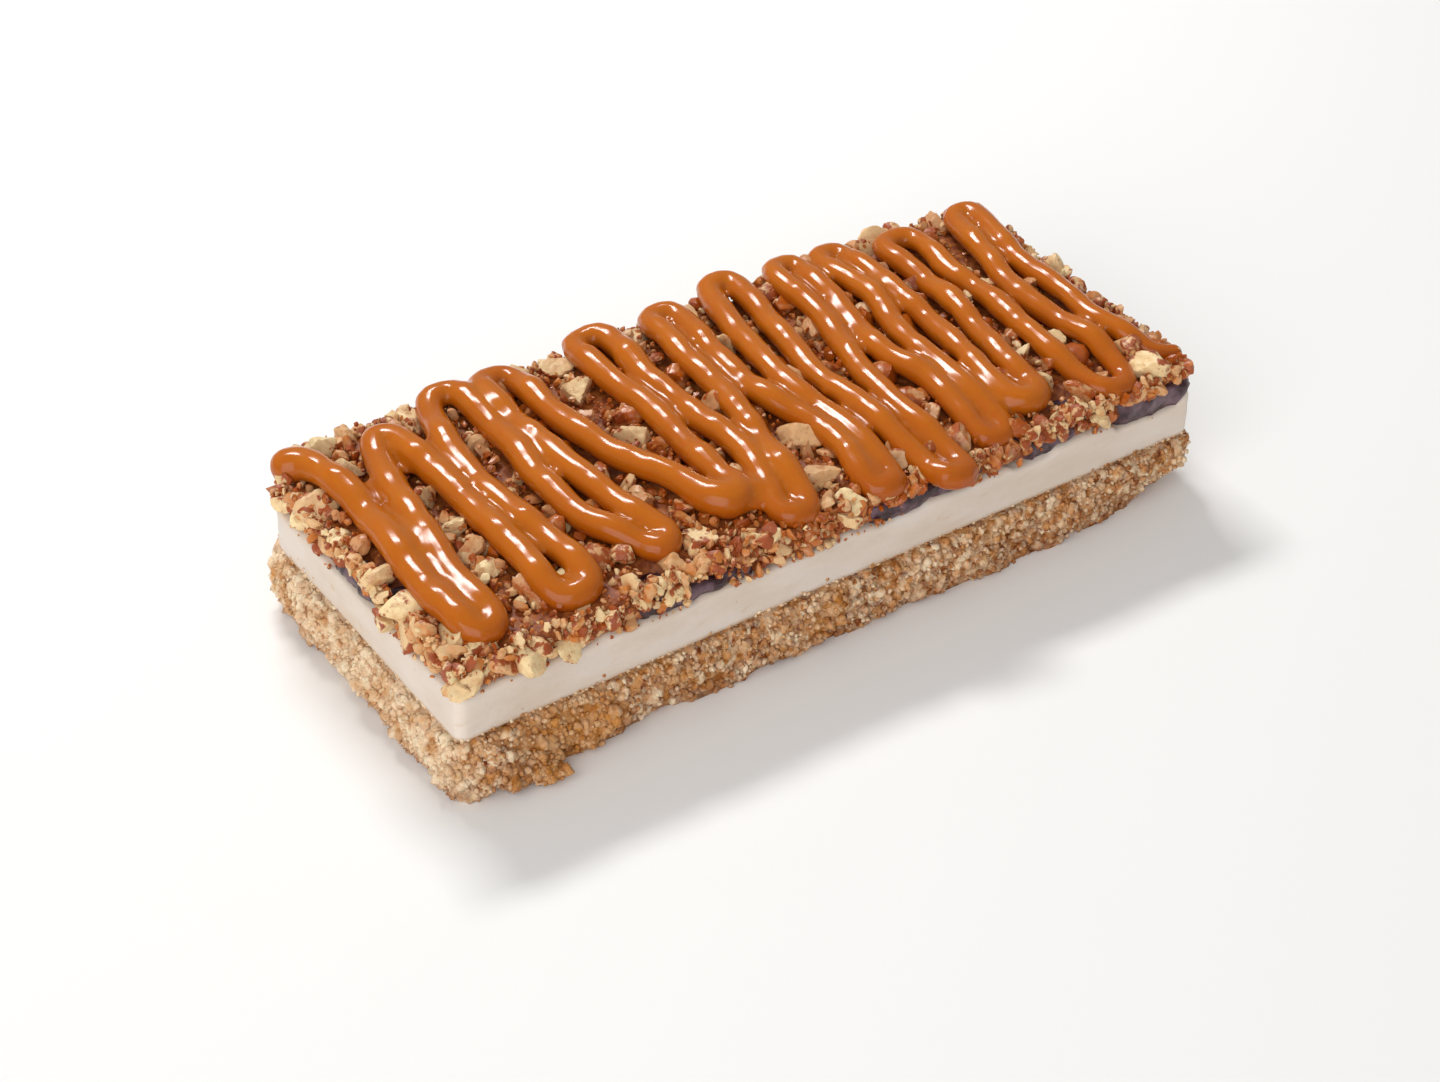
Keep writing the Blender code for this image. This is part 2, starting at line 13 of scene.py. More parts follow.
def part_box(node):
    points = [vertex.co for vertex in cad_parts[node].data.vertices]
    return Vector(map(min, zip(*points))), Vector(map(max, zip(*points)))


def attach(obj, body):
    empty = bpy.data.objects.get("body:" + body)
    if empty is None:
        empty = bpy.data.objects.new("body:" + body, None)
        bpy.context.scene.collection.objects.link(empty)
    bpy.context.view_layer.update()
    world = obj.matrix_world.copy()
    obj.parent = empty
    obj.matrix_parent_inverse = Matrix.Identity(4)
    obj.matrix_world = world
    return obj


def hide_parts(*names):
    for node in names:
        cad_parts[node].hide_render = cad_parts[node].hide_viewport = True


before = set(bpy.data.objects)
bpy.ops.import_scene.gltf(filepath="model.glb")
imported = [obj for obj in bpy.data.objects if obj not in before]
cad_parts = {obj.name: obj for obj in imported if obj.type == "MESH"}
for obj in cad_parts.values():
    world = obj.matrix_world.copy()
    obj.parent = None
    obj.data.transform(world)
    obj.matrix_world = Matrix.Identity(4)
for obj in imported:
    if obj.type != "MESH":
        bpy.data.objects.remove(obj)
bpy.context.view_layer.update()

# The crumb base. Biscuit crumbs bound with butter are pressed into a tin and baked, and the slice
# is cut from them, so its sides are a wall of tan grains 1 to 3 mm wide with dark gaps between.
MM = 0.001
# Turns in radians: far enough to lie any way up, and all the way round
ANY_WAY = 3.2
FULL_TURN = 6.3
PATTERN_SHIFT = (17.3, -9.1, 0.0)
PATTERN_SPAN = 99
CORE_FACE = 0.68
CORE_SINK = 0.3
CORE_TONE = 0.3
# The core's sides: beyond this x or this y, above this height, and not facing down
SIDE_X = 57.2
SIDE_Y = 24.5
SIDE_FOOT = 0.3
FACING_DOWN = -0.8
GRAIN_WIDTH = 2.1
GRAIN_RELIEF = 0.5
GRAIN_MIDDLE = 0.35
# Each layer of unevenness, here and below: its depth, its width and its pattern's number
FINE_GRAIN = ((0.25, 0.9, 5),)
CLUMPS = 2300
CLUMP_SIZES = (0.9, 2.1)
CLUMP_KINDS = 24
CLUMP_ROUGHNESS = 0.55
CLUMP_SINK = (-0.35, 0.08)
GRITS = 6000
GRIT_SIZES = (0.5, 1.1)
GRIT_KINDS = 12
GRIT_ROUGHNESS = 0.5
GRIT_SINK = (-0.1, 0.4)
MOSTLY_FINE = 1.8
LUMP_WIDTHS = (0.75, 1.0)
LUMP_HEIGHTS = (0.6, 0.9)
# The knobs on a lump: their share of its roughness, and about how many lie across it
KNOBS = ((1.0, 3.0), (0.6, 8.0))
CRUMB_DARK = "#7A3608"
CRUMB_TAN = "#D39962"
CRUMB_PALE = "#F6DCBA"
CRUMB_GOLDEN = "#C4802C"
CRUMB_FOOT_DARK = "#8C4A18"
# Widths of the patterns on the crumb: browned specks, golden patches, grains and roughness
CRUMB_MOTTLE = 1.11
CRUMB_PATCH = 3.03
CRUMB_SPECK = 0.87
CRUMB_ROUGH = 0.667
TONE_SHARE = 0.8
# Painted light: the crumb's left end is painted paler from the first x to the second, standing in for light
# from the left
PAINTED_LIGHT_END = (-54.5, -58.0)
GOLDEN_END = (30.0, -30.0)
# The crumb is darker and browner towards its foot, from the first height down to the second
DARKER_FOOT = (4.2, 0.4)
TOASTED_SPOT = (-42.5, -28.5, 3.0)
TOASTED_REACH = (9.0, 5.0)


def wave(x, y, z, size, number):
    """Smooth noise between about -1 and 1. Each number gives another pattern."""
    return noise.noise(Vector((x, y, z)) / size + Vector(PATTERN_SHIFT) * number)


def waves(x, y, z, layers):
    """Layers of noise added up."""
    return sum(depth * wave(x, y, z, width, number) for depth, width, number in layers)


def random_shift(rng):
    return Vector([rng.uniform(0, PATTERN_SPAN) for _ in range(3)])


def mostly_small(rng, sizes, lean):
    """A size between two limits, the more often a small one the higher the lean."""
    return sizes[0] + (sizes[1] - sizes[0]) * rng.random() ** lean


def ease(start, end, value):
    """0 at start and 1 at end, with a soft step between."""
    t = np.clip((value - start) / (end - start), 0.0, 1.0)
    return t * t * (3.0 - 2.0 * t)


def linear(colour, alpha=1.0):
    """A colour written as sRGB hex, as the linear values that a shader takes."""
    parts = [int(colour[i : i + 2], 16) / 255.0 for i in (1, 3, 5)]
    return (*(p / 12.92 if p <= 0.04045 else ((p + 0.055) / 1.055) ** 2.4 for p in parts), alpha)


def fineness(width):
    """The scale of a pattern whose grains are so many millimetres wide."""
    return 1.0 / (width * MM)


def between(start, end):
    """Where a map range starts and ends, in millimetres."""
    return {"From Min": start * MM, "From Max": end * MM}


def add(tree, kind, values=None, links=None, **settings):
    """Adds a node with its settings, the values of its inputs, and what is linked into them: an
    output, or a node for its first output."""
    node = tree.nodes.new("ShaderNode" + kind)
    for name, value in settings.items():
        setattr(node, name, value)
    for name, value in (values or {}).items():
        node.inputs[name].default_value = value
    for name, source in (links or {}).items():
        output = source.outputs[0] if isinstance(source, bpy.types.Node) else source
        tree.links.new(output, node.inputs[name])
    return node


def new_material(name):
    material = bpy.data.materials.new(name)
    material.use_nodes = True
    material.node_tree.nodes.clear()
    return material, material.node_tree


def new_object(name, data):
    thing = bpy.data.objects.new(name, data)
    bpy.context.scene.collection.objects.link(thing)
    return thing


def make_piece(name, points, faces, material, slot, replaced, **marks):
    """A smooth-shaded mesh from arrays in millimetres, with one number a point for each mark."""
    mesh = bpy.data.meshes.new(name)
    points = np.asarray(points, np.float32)
    faces = np.asarray(faces, np.int32)
    mesh.vertices.add(len(points))
    mesh.vertices.foreach_set("co", (points * MM).ravel())
    mesh.loops.add(faces.size)
    mesh.loops.foreach_set("vertex_index", faces.ravel())
    mesh.polygons.add(len(faces))
    mesh.polygons.foreach_set("loop_start", np.arange(0, faces.size, faces.shape[1], dtype=np.int32))
    mesh.update(calc_edges=True)
    mesh.validate()
    mesh.shade_smooth()
    for mark, numbers in marks.items():
        attribute = mesh.attributes.new(mark, "FLOAT", "POINT")
        attribute.data.foreach_set("value", np.asarray(numbers, np.float32))
    piece = new_object(name, mesh)
    dress(piece, material, replaced)
    return piece


def dress(piece, material, replaced):
    piece.data.materials.clear()
    piece.data.materials.append(material)
    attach(piece, "root")
    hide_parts(replaced)


def apply_modifiers(piece):
    graph = bpy.context.evaluated_depsgraph_get()
    mesh = bpy.data.meshes.new_from_object(piece.evaluated_get(graph))
    piece.modifiers.clear()
    piece.data = mesh


def even_faces(piece, width):
    remesh = piece.modifiers.new("even faces", "REMESH")
    remesh.mode = "VOXEL"
    remesh.voxel_size = width * MM
    remesh.use_smooth_shade = True
    apply_modifiers(piece)


def points_of(mesh):
    points = np.empty(len(mesh.vertices) * 3, np.float32)
    mesh.vertices.foreach_get("co", points)
    normals = np.empty(len(mesh.vertices) * 3, np.float32)
    mesh.vertices.foreach_get("normal", normals)
    return points.reshape(-1, 3) / MM, normals.reshape(-1, 3)


def move_points(mesh, points):
    mesh.vertices.foreach_set("co", (points * MM).ravel().astype(np.float32))
    mesh.update()


def ball(detail):
    """Points and triangles of a ball one unit across."""
    shape = bmesh.new()
    bmesh.ops.create_icosphere(shape, subdivisions=detail, radius=0.5)
    points = np.array([vert.co for vert in shape.verts])
    faces = np.array([[vert.index for vert in face.verts] for face in shape.faces])
    shape.free()
    return points, faces


def knobbly(rng, points, roughness):
    """The ball pushed in and out into an irregular baked clump."""
    shift = random_shift(rng)
    reach = np.ones(len(points))
    for share, fine in KNOBS:
        reach += [roughness * share * noise.noise(Vector(p) * fine + shift) for p in points]
    return points * reach[:, None]


def repeated(faces, count, size):
    """The faces of a shape with so many points, for as many copies of it."""
    return (faces[None] + np.arange(count)[:, None, None] * size).reshape(-1, 3)


def strew(rng, shapes, faces, spots, sizes):
    """One mesh of many lumps: each spot gets one of the shapes, turned and scaled at random. The
    last array says which lump each point is on."""
    all_points, owner = [], []
    for number, (spot, size) in enumerate(zip(spots, sizes)):
        shape = shapes[rng.randrange(len(shapes))]
        scale = np.array((1.0, rng.uniform(*LUMP_WIDTHS), rng.uniform(*LUMP_HEIGHTS))) * size
        tilts = (rng.uniform(-ANY_WAY, ANY_WAY), rng.uniform(-ANY_WAY, ANY_WAY))
        turn = Euler((*tilts, rng.uniform(0.0, FULL_TURN)))
        all_points.append((shape * scale) @ np.array(turn.to_matrix()).T + np.asarray(spot))
        owner += [number] * len(shape)
    return np.concatenate(all_points), repeated(faces, len(spots), len(shapes[0])), np.array(owner)


def inside(points, node):
    """Points held in the solid's own box, so that no grain makes the slice larger."""
    low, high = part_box(node)
    return np.clip(points, np.array(low) / MM, np.array(high) / MM)


# Baked biscuit crumb is dry and matt: every grain has its own tone, browner in patches where it caught heat,
# darker towards its foot, and its left end painted paler as painted light from the left
baked_crumb, tree = new_material("baked biscuit crumb")
place = add(tree, "TexCoord").outputs["Object"]
along = add(tree, "SeparateXYZ", links={"Vector": place})
tone = add(tree, "Attribute", attribute_name="tone")
mottled = {"Scale": fineness(CRUMB_MOTTLE), "Detail": 5.0, "Roughness": 0.65}
mottle = add(tree, "TexNoise", mottled, {"Vector": place})
patch = add(tree, "TexNoise", {"Scale": fineness(CRUMB_PATCH), "Detail": 3.0}, {"Vector": place})
specks = add(tree, "TexVoronoi", {"Scale": fineness(CRUMB_SPECK)}, {"Vector": place})
browned = add(tree, "MapRange", {"From Min": 0.38, "From Max": 0.58}, {"Value": mottle})
own = add(tree, "Math", {1: TONE_SHARE}, {0: tone.outputs["Fac"]}, operation="MULTIPLY")
mixed = add(tree, "Math", links={0: own, 1: specks.outputs["Color"]}, operation="ADD")
# Painted light: a paler left end, standing in for the light falling on it from the left
painted_light_end = add(tree, "MapRange", {**between(*PAINTED_LIGHT_END), "To Max": 0.6}, {"Value": along.outputs["X"]})
lifted = add(tree, "Math", links={0: mixed, 1: painted_light_end}, operation="ADD")
pale = add(tree, "MapRange", {"From Min": 0.55, "From Max": 1.5}, {"Value": lifted})
body = add(tree, "Mix", {6: linear(CRUMB_DARK), 7: linear(CRUMB_TAN)}, {0: browned}, data_type="RGBA")
light = add(tree, "Mix", {7: linear(CRUMB_PALE)}, {0: pale, 6: body.outputs[2]}, data_type="RGBA")
shares = {**between(*GOLDEN_END), "To Min": 0.35, "To Max": 0.65}
leftward = add(tree, "MapRange", shares, {"Value": along.outputs["X"]})
spread = add(tree, "MapRange", {"From Min": 0.45, "From Max": 0.68}, {"Value": patch, "To Max": leftward})
spot = tuple(v * MM for v in TOASTED_SPOT)
away = add(tree, "VectorMath", {1: spot}, {0: place}, operation="DISTANCE")
toasted = add(tree, "MapRange", {**between(*TOASTED_REACH), "To Max": 0.6}, {"Value": away.outputs["Value"]})
most = add(tree, "Math", links={0: spread, 1: toasted}, operation="MAXIMUM")
golden = add(tree, "Mix", {7: linear(CRUMB_GOLDEN)}, {0: most, 6: light.outputs[2]}, data_type="RGBA")
# Darker and browner towards the foot, in patches
foot = add(tree, "MapRange", {**between(*DARKER_FOOT), "To Max": 0.75}, {"Value": along.outputs["Z"]})
uneven = add(tree, "MapRange", {"From Min": 0.35, "From Max": 0.65}, {"Value": patch})
foot_darkness = add(tree, "Math", links={0: foot, 1: uneven}, operation="MULTIPLY")
foot_darkened = add(tree, "Mix", {7: linear(CRUMB_FOOT_DARK)}, {0: foot_darkness, 6: golden.outputs[2]}, data_type="RGBA")
roughened = {"Scale": fineness(CRUMB_ROUGH), "Detail": 4.0, "Roughness": 0.65}
rough = add(tree, "TexNoise", roughened, {"Vector": place})
bump = add(tree, "Bump", {"Strength": 0.9, "Distance": 0.4 * MM}, {"Height": rough})
surface = add(
    tree, "BsdfPrincipled",
    {
        "Roughness": 0.8, "IOR": 1.45, "Specular IOR Level": 0.3,
        "Subsurface Weight": 0.1, "Subsurface Scale": 1.0 * MM,
    },
    {"Base Color": foot_darkened.outputs[2], "Normal": bump},
)
add(tree, "OutputMaterial", links={"Surface": surface})

rng = random.Random(3)
core = new_object("crumb_core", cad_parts["crumb_base"].data.copy())
even_faces(core, CORE_FACE)
core_points, core_normals = points_of(core.data)
beyond = (np.abs(core_points[:, 0]) > SIDE_X) | (np.abs(core_points[:, 1]) > SIDE_Y)
side = beyond & (core_points[:, 2] > SIDE_FOOT) & (core_normals[:, 2] > FACING_DOWN)
side_spots = np.flatnonzero(side)
relief = np.zeros(len(core_points))
for i in side_spots:
    nearest = noise.voronoi(Vector(core_points[i]) / GRAIN_WIDTH)[0][0]
    relief[i] = GRAIN_RELIEF * (GRAIN_MIDDLE - nearest) + waves(*core_points[i], FINE_GRAIN) - CORE_SINK
core_points += core_normals * relief[:, None]
move_points(core.data, inside(core_points, "crumb_base"))
tones = core.data.attributes.new("tone", "FLOAT", "POINT")
tones.data.foreach_set("value", np.full(len(core_points), CORE_TONE, np.float32))
dress(core, baked_crumb, "crumb_base")


def stuck_on(rng, count, sizes, sink):
    """Places all over the sides for grains sunk into the core, with their sizes."""
    spots, widths = [], []
    for _ in range(count):
        i = side_spots[rng.randrange(len(side_spots))]
        size = mostly_small(rng, sizes, MOSTLY_FINE)
        spots.append(core_points[i] + core_normals[i] * size * rng.uniform(*sink))
        widths.append(size)
    return spots, widths


def make_crumbs(rng, name, shapes, shape_faces, spots, widths, node):
    """A piece of baked grains, one at each spot, each with its own tone."""
    points, faces, owner = strew(rng, shapes, shape_faces, spots, widths)
    tones = np.array([rng.random() for _ in spots])
    make_piece(name, inside(points, node), faces, baked_crumb, "baked_crumb", node, tone=tones[owner])


clump, clump_faces = ball(2)
clumps = [knobbly(rng, clump, CLUMP_ROUGHNESS) for _ in range(CLUMP_KINDS)]
spots, widths = stuck_on(rng, CLUMPS, CLUMP_SIZES, CLUMP_SINK)
make_crumbs(rng, "crumb_clumps", clumps, clump_faces, spots, widths, "crumb_base")

grain, grain_faces = ball(1)
grains = [knobbly(rng, grain, GRIT_ROUGHNESS) for _ in range(GRIT_KINDS)]
spots, widths = stuck_on(rng, GRITS, GRIT_SIZES, GRIT_SINK)
make_crumbs(rng, "crumb_grit", grains, grain_faces, spots, widths, "crumb_base")

# The cream. A set cheesecake cream, spread level on the base and chilled, then cut through: the
# cut faces are smooth and faintly dragged by the knife, with a few crumbs and stains on them.
LENGTH = 115.0
WIDTH = 49.6
CORNER_RADII = (1.5, 1.8, 3.0, 6.5)
# A cut side faces a way when its normal points there by more than this
FACING = 0.5
CREAM_TOP = 15.7
CREAM_FOOT = 8.6
CREAM_FACE = 0.6
CREAM_RINGS = 14
CREAM_SHORT = 0.2
# The cut face's long waves and shallow dents, and how far each is pressed flat from top to bottom
CREAM_DRAG = ((0.22, 13.0, 3),)
DRAG_FLATNESS = 2.0
CREAM_DENTS = ((0.07, 2.6, 7),)
DENT_FLATNESS = 3.0
CREAM_ROUND = 0.7
CREAM_ROUND_DEPTH = 0.3
LEVEL_DEPTH = 3.0
LID_SHRINK = (0.9, 0.8, 1.0)
CREAM_WHITE = "#E0D3C7"
CREAM_WARM = "#D2BBA2"
CREAM_STAIN_AND_SHADE = "#C9A06C"
CREAM_CLOUDS = 11.1
CREAM_STREAKS = 4.17
CREAM_GRAIN = 2.0
CREAM_STRETCH = (1.0, 1.0, 2.6)
# The cream is darker at its foot, from the first height down to the second: partly a stain of crumbs smeared
# up from the crust, partly painted shade along the join
STAINED_AND_SHADED_FOOT = (9.6, 8.7)
# Where the chocolate droops over the cream: from x, to x, and how far
DROOPS = ((42.5, 56.5, 1.5), (25.0, 34.0, 0.7), (3.0, 13.0, 0.4), (-30.0, -22.0, 0.5))
DROOP_EASE = 2.0
SAG_MIDDLE = 0.35
SAG_WAVES = ((0.35, 6.0, 15), (0.15, 2.0, 16))


def cut_outline(step):
    """Points round the cut slice, anticlockwise, each with the way it faces: (x, y, nx, ny)."""
    half = (LENGTH / 2.0, WIDTH / 2.0)
    signs = ((-1, -1), (1, -1), (1, 1), (-1, 1))
    points = []
    for corner, ((sx, sy), radius) in enumerate(zip(signs, CORNER_RADII)):
        middle = (sx * (half[0] - radius), sy * (half[1] - radius))
        arcs = max(2, round(radius * math.pi / 2.0 / step))
        for i in range(arcs + 1):
            angle = math.pi * (1.0 + corner / 2.0) + math.pi / 2.0 * i / arcs
            nx, ny = math.cos(angle), math.sin(angle)
            points.append((middle[0] + radius * nx, middle[1] + radius * ny, nx, ny))
        sx, sy = signs[(corner + 1) % 4]
        radius = CORNER_RADII[(corner + 1) % 4]
        x, y, nx, ny = points[-1]
        along = (-ny, nx)
        ahead = (sx * (half[0] - radius) - x) * along[0] + (sy * (half[1] - radius) - y) * along[1]
        pieces = max(1, round(ahead / step))
        for i in range(1, pieces):
            run = ahead * i / pieces
            points.append((x + along[0] * run, y + along[1] * run, nx, ny))
    return points


def sag(x, y, ny):
    """How far the chocolate's lower edge hangs below its level: along some stretches of the front
    it droops over the cream, elsewhere the edge only waves."""
    low = SAG_MIDDLE + waves(x, y, 0.0, SAG_WAVES)
    for start, end, depth in DROOPS:
        if ny < -FACING:
            low += depth * float(ease(start, start + DROOP_EASE, x) * ease(end, end - DROOP_EASE, x))
    return low


def halved(quads):
    """Four-sided faces as triangles."""
    return np.concatenate([quads[:, (0, 1, 2)], quads[:, (0, 2, 3)]])


def make_block(name, outline, heights, reach, level, material, slot, replaced):
    """A closed block: rings of the outline at each height, pushed out by reach and let down by
    level, with shrunken rings and a fan of triangles that close its top and bottom."""
    rings = []
    for z in heights:
        ring = []
        for x, y, nx, ny in outline:
            out = reach(x, y, z, nx, ny)
            ring.append((x + nx * out, y + ny * out, z - level(x, y, z, ny)))
        rings.append(ring)
    rings = np.array(rings)
    rings = np.concatenate([[rings[0] * LID_SHRINK], rings, [rings[-1] * LID_SHRINK]])
    count = len(outline)
    near = np.arange(count)
    ahead = (near + 1) % count
    quad = np.stack([near, ahead, ahead + count, near + count], 1)
    quads = np.concatenate([quad + k * count for k in range(len(rings) - 1)])
    points = rings.reshape(-1, 3)
    middles = np.array([points[:count].mean(0), points[-count:].mean(0)])
    total = len(points)
    low = np.stack([ahead, near, np.full(count, total)], 1)
    high = np.stack([near + total - count, ahead + total - count, np.full(count, total + 1)], 1)
    faces = np.concatenate([halved(quads), low, high])
    make_piece(name, np.concatenate([points, middles]), faces, material, slot, replaced)


def cream_reach(x, y, z, nx, ny):
    """Knife drag in long low waves, a few shallow dents, and softly rounded edges."""
    out = waves(x, y, z * DRAG_FLATNESS, CREAM_DRAG) + waves(x, y, z * DENT_FLATNESS, CREAM_DENTS)
    edge = min(z - CREAM_FOOT, CREAM_TOP - z)
    return out - CREAM_SHORT - CREAM_ROUND_DEPTH * (1.0 - float(ease(0.0, CREAM_ROUND, edge)))


def cream_level(x, y, z, ny):
    """The cream's top edge follows the chocolate's lower edge."""
    return sag(x, y, ny) * float(ease(CREAM_TOP - LEVEL_DEPTH, CREAM_TOP, z))


# Set cream is dense and a little translucent, so its shade is soft and its sheen low
set_cream, tree = new_material("set cream")
place = add(tree, "TexCoord").outputs["Object"]
height = add(tree, "SeparateXYZ", links={"Vector": place}).outputs["Z"]
stretched = add(tree, "Mapping", {"Scale": CREAM_STRETCH}, {"Vector": place})
clouds = add(tree, "TexNoise", {"Scale": fineness(CREAM_CLOUDS), "Detail": 3.0}, {"Vector": stretched})
warm = add(tree, "MapRange", {"From Min": 0.35, "From Max": 0.75, "To Max": 0.6}, {"Value": clouds})
body = add(tree, "Mix", {6: linear(CREAM_WHITE), 7: linear(CREAM_WARM)}, {0: warm}, data_type="RGBA")
streaky = {"Scale": fineness(CREAM_STREAKS), "Detail": 4.0, "Distortion": 0.6}
streaks = add(tree, "TexNoise", streaky, {"Vector": stretched})
stains = add(tree, "MapRange", {"From Min": 0.64, "From Max": 0.78, "To Max": 0.5}, {"Value": streaks})
stained = add(tree, "Mix", {7: linear(CREAM_STAIN_AND_SHADE)}, {0: stains, 6: body.outputs[2]}, data_type="RGBA")
# Darker at the foot along the join with the crust: partly a crumb stain, partly painted shade
foot = add(tree, "MapRange", {**between(*STAINED_AND_SHADED_FOOT), "To Max": 0.55}, {"Value": height})
foot_stained_and_shaded = add(tree, "Mix", {7: linear(CREAM_STAIN_AND_SHADE)}, {0: foot, 6: stained.outputs[2]}, data_type="RGBA")
drag = add(tree, "TexNoise", {"Scale": fineness(CREAM_GRAIN), "Detail": 3.0}, {"Vector": stretched})
bump = add(tree, "Bump", {"Strength": 0.25, "Distance": 0.3 * MM}, {"Height": drag})
surface = add(
    tree, "BsdfPrincipled",
    {
        "Roughness": 0.42, "IOR": 1.45,
        "Subsurface Weight": 0.35, "Subsurface Radius": (1.0, 0.8, 0.6), "Subsurface Scale": 1.5 * MM,
    },
    {"Base Color": foot_stained_and_shaded.outputs[2], "Normal": bump},
)
add(tree, "OutputMaterial", links={"Surface": surface})

outline = cut_outline(CREAM_FACE)
heights = np.linspace(CREAM_FOOT, CREAM_TOP, CREAM_RINGS)
make_block("cream_block", outline, heights, cream_reach, cream_level, set_cream, "set_cream", "cream_layer")

# Crumbs that the knife dragged up over the cream's foot, and a few higher on its face. They lie
# heaped towards the back of the left end, and more are high up along the left of the front.
STRAY_CRUMBS = 520
STRAY_SIZES = (0.4, 1.1)
STRAY_STEP = 0.5
STRAY_SINK = 0.3
STRAY_SHRINK = 0.5
HEAPED_Y = (2.0, 20.0)
HEAPED_RISE = 1.3
LOW_RISE = 0.35
HIGH_RISES = (0.5, 5.5)
LOW_SHARE = 0.95
MESSY_LOW_SHARE = 0.82
MESSY_X = (-40.0, 0.0)
face_spots = cut_outline(STRAY_STEP)
spots, widths = [], []
for _ in range(STRAY_CRUMBS):
    x, y, nx, ny = face_spots[rng.randrange(len(face_spots))]
    heaped = HEAPED_RISE * float(ease(*HEAPED_Y, y)) * (nx < -FACING)
    low_share = MESSY_LOW_SHARE if ny < -FACING and MESSY_X[0] < x < MESSY_X[1] else LOW_SHARE
    is_low = rng.random() < low_share
    rise = abs(rng.gauss(0.0, LOW_RISE + heaped)) if is_low else rng.uniform(*HIGH_RISES)
    spots.append((x - STRAY_SINK * nx, y - STRAY_SINK * ny, CREAM_FOOT + rise))
    widths.append(rng.uniform(*STRAY_SIZES) / (1.0 + STRAY_SHRINK * rise))
make_crumbs(rng, "stray_crumbs", grains, grain_faces, spots, widths, "cream_layer")

# The chocolate. Melted dark chocolate spread thinly over the cream, set and broken by the cut: it
# reaches the cut side only along some stretches, and nuts hide it along the others.
CHOCOLATE_FOOT = 15.8
CHOCOLATE_TOP = 17.6
CHOCOLATE_FACE = 0.6
CHOCOLATE_RINGS = 6
CHOCOLATE_SHORT = 2.4
CHOCOLATE_EASE = 2.5
CHOCOLATE_INSET = 0.2
CHOCOLATE_EDGE = ((0.2, 4.0, 4),)
CHOCOLATE_BREAKS = ((0.5, 2.2, 8), (0.3, 0.9, 9))
BREAK_SINK = 0.15
CHOCOLATE_ROUND = 0.7
CHOCOLATE_ROUND_DEPTH = 0.45
FRONT_SHOWS = ((-33.0, -13.0), (2.0, 23.0), (27.5, 38.5), (43.0, 60.0))
BACK_SHOWS = ((-60.0, -38.0), (-20.0, 4.0), (18.0, 44.0))
LEFT_SHOWS = ((-6.0, 7.0),)
RIGHT_SHOWS = ((-26.0, -8.0), (4.0, 15.0))
CHOCOLATE_BROWN = "#351A1F"
CHOCOLATE_BLOOM = "#7E5F6B"
CHOCOLATE_HAZE = 2.38
CHOCOLATE_CHIPS = 0.77


def chocolate_reach(x, y, nx, ny):
    """Just inside the cut side where the chocolate shows, and well inside where nuts hide it."""
    if abs(ny) > abs(nx):
        along, stretches = x, FRONT_SHOWS if ny < 0.0 else BACK_SHOWS
    else:
        along, stretches = y, LEFT_SHOWS if nx < 0.0 else RIGHT_SHOWS
    shown = 0.0
    for start, end in stretches:
        here = ease(start, start + CHOCOLATE_EASE, along) * ease(end, end - CHOCOLATE_EASE, along)
        shown = max(shown, float(here))
    return waves(x, y, 0.0, CHOCOLATE_EDGE) - CHOCOLATE_INSET - CHOCOLATE_SHORT * (1.0 - shown)


def chocolate_relief(x, y, z, nx, ny):
    """The chocolate's broken edge, rounded at its top and its foot."""
    out = chocolate_reach(x, y, nx, ny) + waves(x, y, z, CHOCOLATE_BREAKS) - BREAK_SINK
    edge = min(z - CHOCOLATE_FOOT, CHOCOLATE_TOP - z)
    return out - CHOCOLATE_ROUND_DEPTH * (1.0 - float(ease(0.0, CHOCOLATE_ROUND, edge)))


def chocolate_level(x, y, z, ny):
    """The chocolate's foot hangs down and its top stays level."""
    return sag(x, y, ny) * float(ease(CHOCOLATE_TOP, CHOCOLATE_FOOT, z))


# Dark chocolate has a low gloss, and a grey-purple bloom where the knife dragged it
dark_chocolate, tree = new_material("dark chocolate")
place = add(tree, "TexCoord").outputs["Object"]
haze = add(tree, "TexNoise", {"Scale": fineness(CHOCOLATE_HAZE), "Detail": 4.0}, {"Vector": place})
bloom = add(tree, "MapRange", {"From Min": 0.42, "From Max": 0.72}, {"Value": haze})
browns = {6: linear(CHOCOLATE_BROWN), 7: linear(CHOCOLATE_BLOOM)}
body = add(tree, "Mix", browns, {0: bloom}, data_type="RGBA")
gloss = add(tree, "MapRange", {"To Min": 0.1, "To Max": 0.55}, {"Value": haze})
chips = add(tree, "TexNoise", {"Scale": fineness(CHOCOLATE_CHIPS), "Detail": 3.0}, {"Vector": place})
bump = add(tree, "Bump", {"Strength": 0.5, "Distance": 0.3 * MM}, {"Height": chips})
looks = {"Base Color": body.outputs[2], "Roughness": gloss, "Normal": bump}
surface = add(tree, "BsdfPrincipled", {"IOR": 1.5}, looks)
add(tree, "OutputMaterial", links={"Surface": surface})

outline = cut_outline(CHOCOLATE_FACE)
heights = np.linspace(CHOCOLATE_FOOT, CHOCOLATE_TOP, CHOCOLATE_RINGS)
make_block(
    "chocolate_sheet", outline, heights, chocolate_relief, chocolate_level,
    dark_chocolate, "dark_chocolate", "chocolate_layer",
)

# The bed under the nuts. Fine nut dust, skins and caramel that ran down between the pieces, packed
# into a dark brown crust on the chocolate. It is seen only in the gaps.
BED_TOP = 18.9
BED_INSET = 0.9
BED_FACE = 0.6
BED_WAVES = ((0.5, 7.0, 6), (0.35, 2.0, 10), (0.2, 0.9, 11))
BED_CORNER = 7.0
BED_BROWN = "#86401A"
BED_TAN = "#B86A2C"
BED_SPECKS = 1.11
BACK_LEFT = (-50.0, 17.0)
